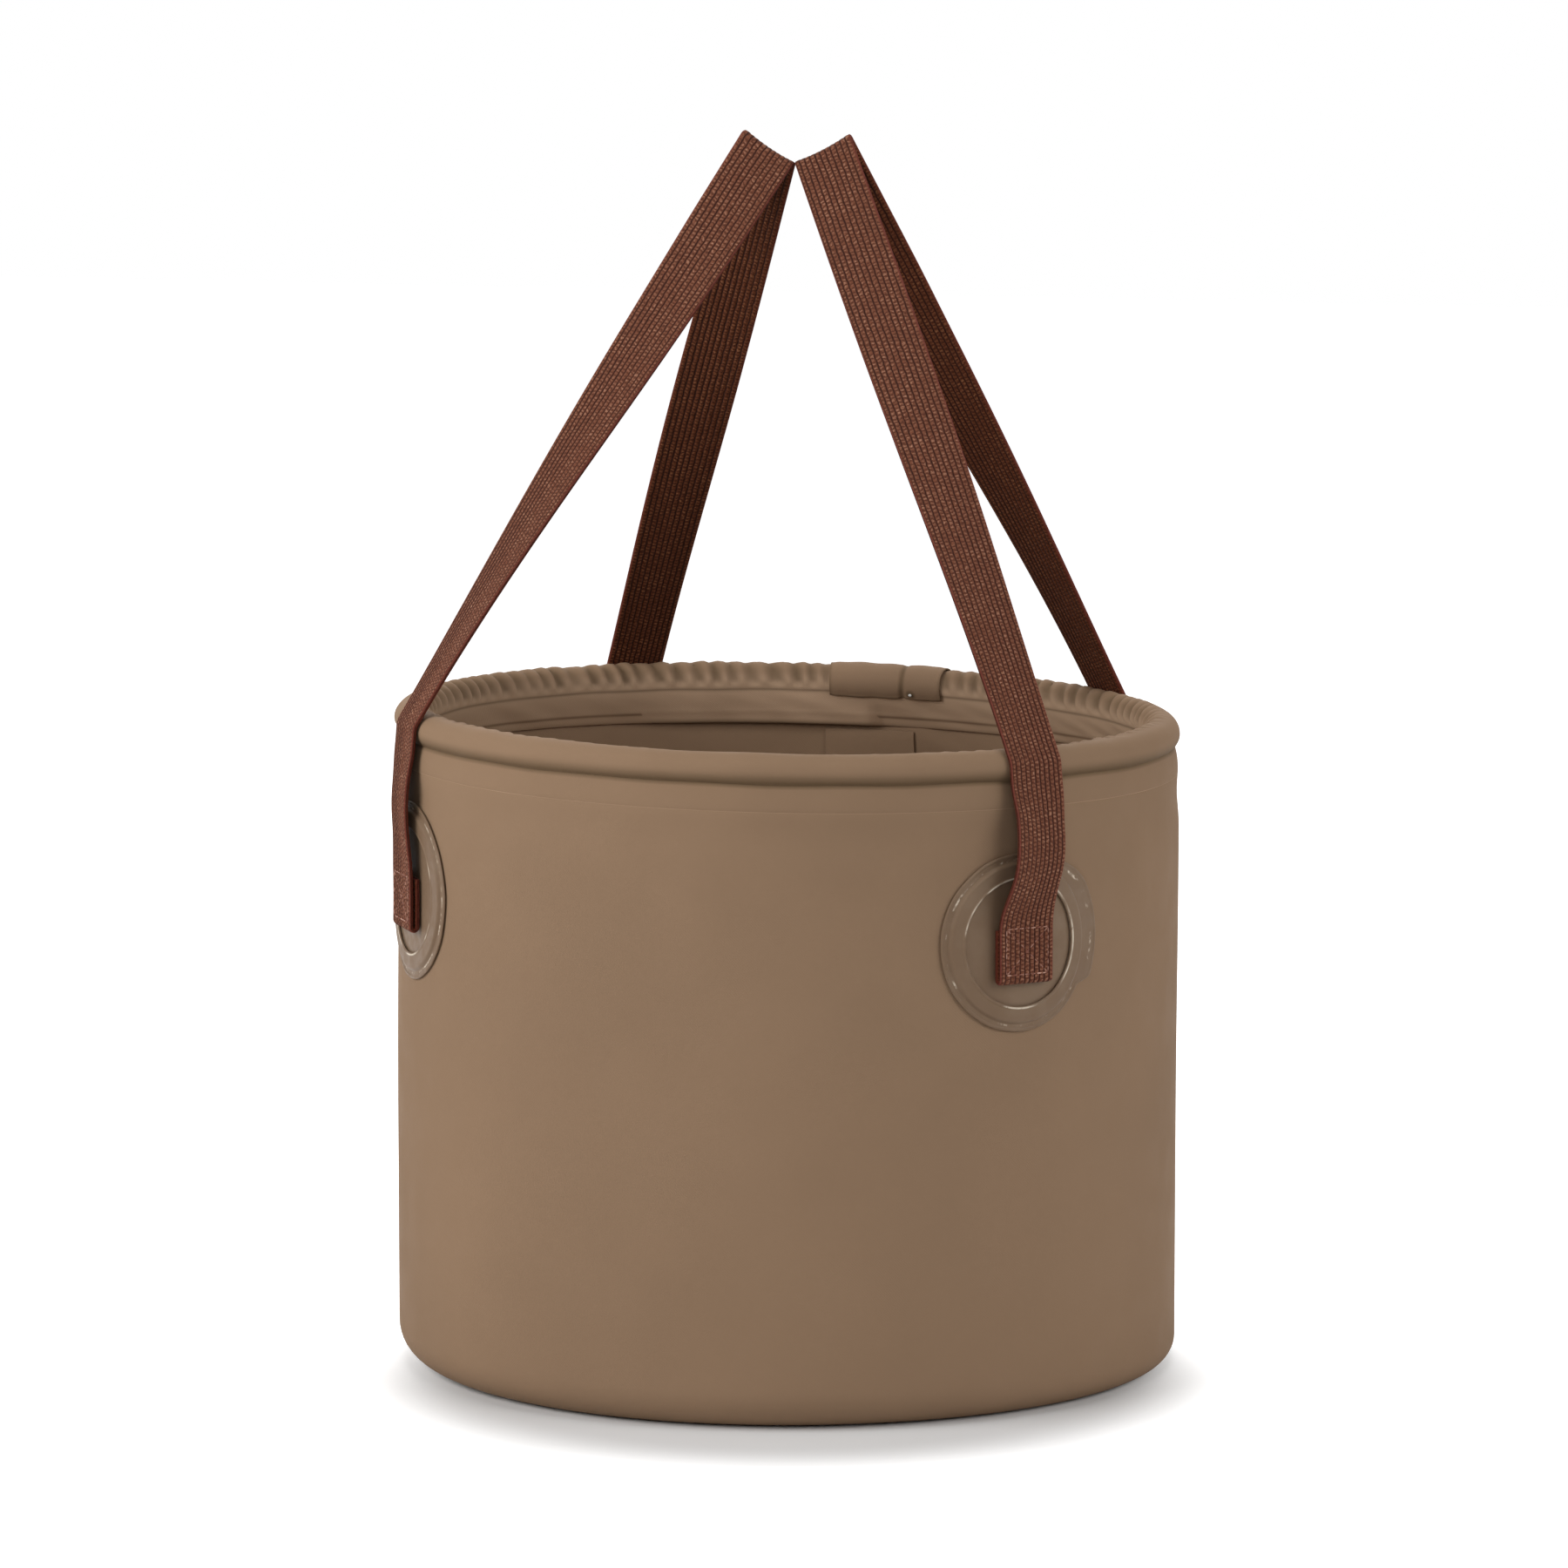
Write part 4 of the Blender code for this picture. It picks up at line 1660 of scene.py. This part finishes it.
    def build(self) -> None:
        """Sweep the cross-section along the strap."""
        points, widths = self.path()
        run = unit(np.gradient(points, axis=0))
        widths = unit(widths - run * (widths * run).sum(-1, keepdims=True))
        face = np.cross(widths, run)
        section, across = self.outline()
        grid = (points[None] + widths[None] * section[:, 0, None, None]
                + face[None] * section[:, 1, None, None])
        along = lengths_along(points)
        middle = along[int(points[:, 2].argmax())]
        sunk = 1 - (2 * section[:, 0, None] / self.width) ** 2
        grid[..., 2] -= self.saddle * sunk * hump(middle, self.saddle_reach, along)[None, :]
        grid[..., 0] *= self.side.value
        flat = pair(np.append(across, 2 * self.width)[:, None], along[None, :])
        label = self.side.name.lower()
        strap = grid_piece(f"{label}_strap", self.form.drooped(grid), flat, turned=False)
        nodes = [f"{label}_handle"] + [f"strap_end_{corner.label}" for corner in self.corners]
        dress(strap, self.finishes.webbing, Slot.WEBBING, None, *nodes)
        low = self.stitch_top + max(corner.seat.lift for corner in self.corners) + self.bend_start
        low + self.bend_over
        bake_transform(strap)

    def stitches(self) -> None:
        """Sew both ends: a box of stitches with a cross in it, each run with its paleness."""
        half, (inset, past) = self.stitch_half, self.stitch_inset
        low, high = self.stitch_bottom + inset, self.stitch_top + past
        runs = [((-half, high), (half, high), 0.7), ((-half, low), (half, low), 1.0),
                ((-half, low), (-half, high), 0.45), ((half, low), (half, high), 0.3),
                ((-half, low), (half, high), 0.35), ((-half, high), (half, low), 0.35)]
        for corner in self.corners:
            BoxStitch(self.form, self.finishes, corner, self.outer_layer + self.thick / 2,
                      runs).build()


@dataclass
class BoxStitch(Assembly):
    """Stitches along straight runs on a strap's outer face, each a small capsule."""

    corner: Corner
    face: float
    runs: list
    length: float = 0.0021
    pitch: float = 0.0028
    thread: float = 0.00028
    proud: float = 0.00004
    rings: int = 7
    sides: int = 6

    def capsules(self, start: Array, end: Array) -> Array:
        """Capsules in a row: radius follows the half round at both ends of each stitch.

        Args:
            start: Across and height of the run's start.
            end: Across and height of the run's end.

        Returns:
            Grids: stitch, ring, side, XYZ in the face's own axes of across, out and up.
        """
        way = end - start
        total = float(np.hypot(*way))
        count = max(2, round(total / self.pitch))
        ahead = way / total
        share = np.cos(np.linspace(math.pi, 0, self.rings))
        size = np.sqrt(np.clip(1 - share ** 2, 0.0, 1)) ** 0.7
        size[0] = size[-1] = 0.12
        size = size[None, :, None]
        spin = np.arange(self.sides) * (TAU / self.sides)
        middles = start + ahead * ((np.arange(count)[:, None] + 0.5) * total / count)
        lie = (share * self.length / 2)[None, :, None]
        across = (middles[:, None, None, 0] + ahead[0] * lie
                  - ahead[1] * self.thread * size * np.cos(spin))
        up = (middles[:, None, None, 1] + ahead[1] * lie
              + ahead[0] * self.thread * size * np.cos(spin))
        out = self.face + self.proud + self.thread * size * np.sin(spin) * 0.8
        return np.stack(np.broadcast_arrays(across, out, up), axis=-1)

    def build(self) -> None:
        """Make all stitches of one strap end as one piece, each with a cap at both ends."""
        rows = [self.capsules(np.array(start), np.array(end)) for start, end, _ in self.runs]
        pale = np.concatenate([np.full(row.shape[:3], tone)
                               for row, (_, _, tone) in zip(rows, self.runs)])
        grids = np.concatenate(rows)
        grids[..., 2] += self.corner.seat.lift
        angle = math.radians(self.corner.place)
        outward = np.array([math.sin(angle), -math.cos(angle)])
        along = np.array([math.cos(angle), math.sin(angle)])
        flat = grids[..., 1, None] * outward + grids[..., 0, None] * along
        points = self.form.drooped(np.concatenate([flat, grids[..., 2, None]], axis=-1))
        rings, sides = self.rings, self.sides
        base = (np.arange(len(points)) * rings * sides)[:, None, None]
        i, j = np.meshgrid(np.arange(rings - 1), np.arange(sides), indexing="ij")
        after = (j + 1) % sides
        quad = np.stack([i * sides + j, i * sides + after, (i + 1) * sides + after,
                         (i + 1) * sides + j], axis=-1)
        quads = (quad.reshape(1, -1, 4) + base).reshape(-1, 4)
        tips = [np.arange(sides)[::-1], (rings - 1) * sides + np.arange(sides)]
        caps = np.concatenate([tip + base[:, 0] for tip in tips])
        maps = np.zeros((quads.size + caps.size, 2))
        maps[:quads.size, 0] = pale.ravel()[quads.ravel()]
        maps[:quads.size, 1] = grids.reshape(-1, 3)[quads.ravel(), 2]
        faces = quads.tolist() + caps.tolist()
        piece = piece_from(f"stitches_{self.corner.label}", points.reshape(-1, 3), faces, maps)
        dress(piece, self.finishes.thread, Slot.WEBBING, "strap_anchors")


@dataclass(frozen=True)
class Softbox:
    """A square lamp, placed in degrees from the camera's side and above level."""

    name: str
    azimuth: float
    elevation: float
    power: float
    distance: float = 1.8
    size: float = 1.2


LAMPS = (Softbox("left_softbox", -60, 25, 25), Softbox("front_softbox", 0, 18, 7.5, 2.2, 1.0),
         Softbox("right_softbox", 60, 25, 14.5), Softbox("left_low_softbox", -95, 8, 3),
         Softbox("right_low_softbox", 95, 8, 3.5), Softbox("top_softbox", 0, 88, 9),
         Softbox("back_softbox", 180, 40, 18))


@dataclass
class Studio:
    """Pale floor, soft light and the camera at the photograph's angle."""

    distance: float = 3.093
    azimuth: float = 16.75
    elevation: float = 7.24
    aim: tuple = (0.0, 0.0, 0.2422)
    focal_pixels: float = 8948
    frame_pixels: float = 1800
    axis_pixel: tuple = (903.4, 862.0)
    sensor: float = 36.0
    far: float = 50
    floor_side: float = 6.0
    floor_drop: float = 0.0003
    floor_tone: tuple = (0.71, 0.71, 0.71, 1.0)
    shade_centre: tuple = (0.0173, -0.0545, 0.0)
    glow_start: float = 0.121
    glow_end: float = 0.203

    def put_up(self, item: Object, azimuth: float, elevation: float, distance: float) -> None:
        """Put a lamp or the camera in its place, turned to the bucket.

        Args:
            item: The new lamp or camera.
            azimuth: 0 in front, 90 to the right.
            elevation: Degrees above level.
            distance: From the aim, in metres.
        """
        level = math.cos(math.radians(elevation)) * distance
        angle = math.radians(azimuth)
        place = np.array(self.aim) + np.array([level * math.sin(angle), -level * math.cos(angle),
                                               math.sin(math.radians(elevation)) * distance])
        placed(item).location = place.tolist()
        gaze = Vector(self.aim) - Vector(place.tolist())
        item.rotation_euler = gaze.to_track_quat("-Z", "Y").to_euler()

    def camera(self) -> None:
        """Set up the camera: its shift puts the aim on the photograph's axis pixel."""
        data = bpy.data.cameras.new("camera")
        data.sensor_width = self.sensor
        data.lens = self.focal_pixels / self.frame_pixels * self.sensor
        middle = self.frame_pixels / 2
        data.shift_x = (middle - self.axis_pixel[0]) / self.frame_pixels
        data.shift_y = (self.axis_pixel[1] - middle) / self.frame_pixels
        data.clip_end = self.far
        item = bpy.data.objects.new("camera", data)
        self.put_up(item, self.azimuth, self.elevation, self.distance)
        bpy.context.scene.camera = item

    def lamps(self) -> None:
        """Add the soft lamps."""
        for lamp in LAMPS:
            data = bpy.data.lights.new(lamp.name, "AREA")
            data.size, data.energy = lamp.size, lamp.power
            item = bpy.data.objects.new(lamp.name, data)
            self.put_up(item, self.azimuth + lamp.azimuth, lamp.elevation, lamp.distance)

    @staticmethod
    def world() -> None:
        """White to camera, clear and glossy rays, and no light on the bucket."""
        graph = Graph(bpy.data.worlds.new("studio"), "Background")
        white = (1, 1, 1, 1)
        graph.feed(Color=white, Strength=graph.seen_directly())
        bpy.context.scene.world = graph.owner

    def floor(self) -> None:
        """A wide pale floor that keeps the bucket's shadow and is white away from it."""
        mesh = bpy.data.meshes.new("floor")
        side, down = self.floor_side, -self.floor_drop
        mesh.from_pydata([(-side, -side, down), (side, -side, down), (side, side, down),
                          (-side, side, down)], [], [(0, 1, 2, 3)])
        item = placed(bpy.data.objects.new("floor", mesh))
        graph = Graph.of_material("pale floor")
        distance = graph.node("ShaderNodeVectorMath", {"operation": "DISTANCE"},
                              {0: graph.solid_place(), 1: self.shade_centre}, "Value")
        glow = distance.spread(self.glow_start, self.glow_end) * graph.seen_directly()
        graph.feed(Base_Color=self.floor_tone, Roughness=0.9, Specular_IOR_Level=0.1,
                   Emission_Strength=1.0, Emission_Color=graph.blend(glow, (0, 0, 0), (1, 1, 1)))
        mesh.materials.append(graph.owner)

    def build(self) -> None:
        """Set up the floor, the world, the lamps and the camera."""
        bpy.context.scene.view_settings.view_transform = "Standard"
        self.world()
        self.floor()
        self.lamps()
        self.camera()


def main() -> None:
    """Build and dress each piece in order."""
    logging.basicConfig(level=logging.INFO, format="%(name)s %(message)s")
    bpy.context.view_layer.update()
    finishes = Finishes.make()
    form = BucketForm.from_frame()
    wall = WallShell(form, finishes)
    BasePanel(form, finishes).build()
    wall.build()
    RimSleeve(form, finishes).build()
    for corner in Corner:
        WeldedPatch(form, finishes, wall, corner).build()
    for side in Side:
        loop = WebbingLoop(form, finishes, side)
        loop.build()
        loop.stitches()
    Studio().build()


if __name__ == "__main__":
    main()
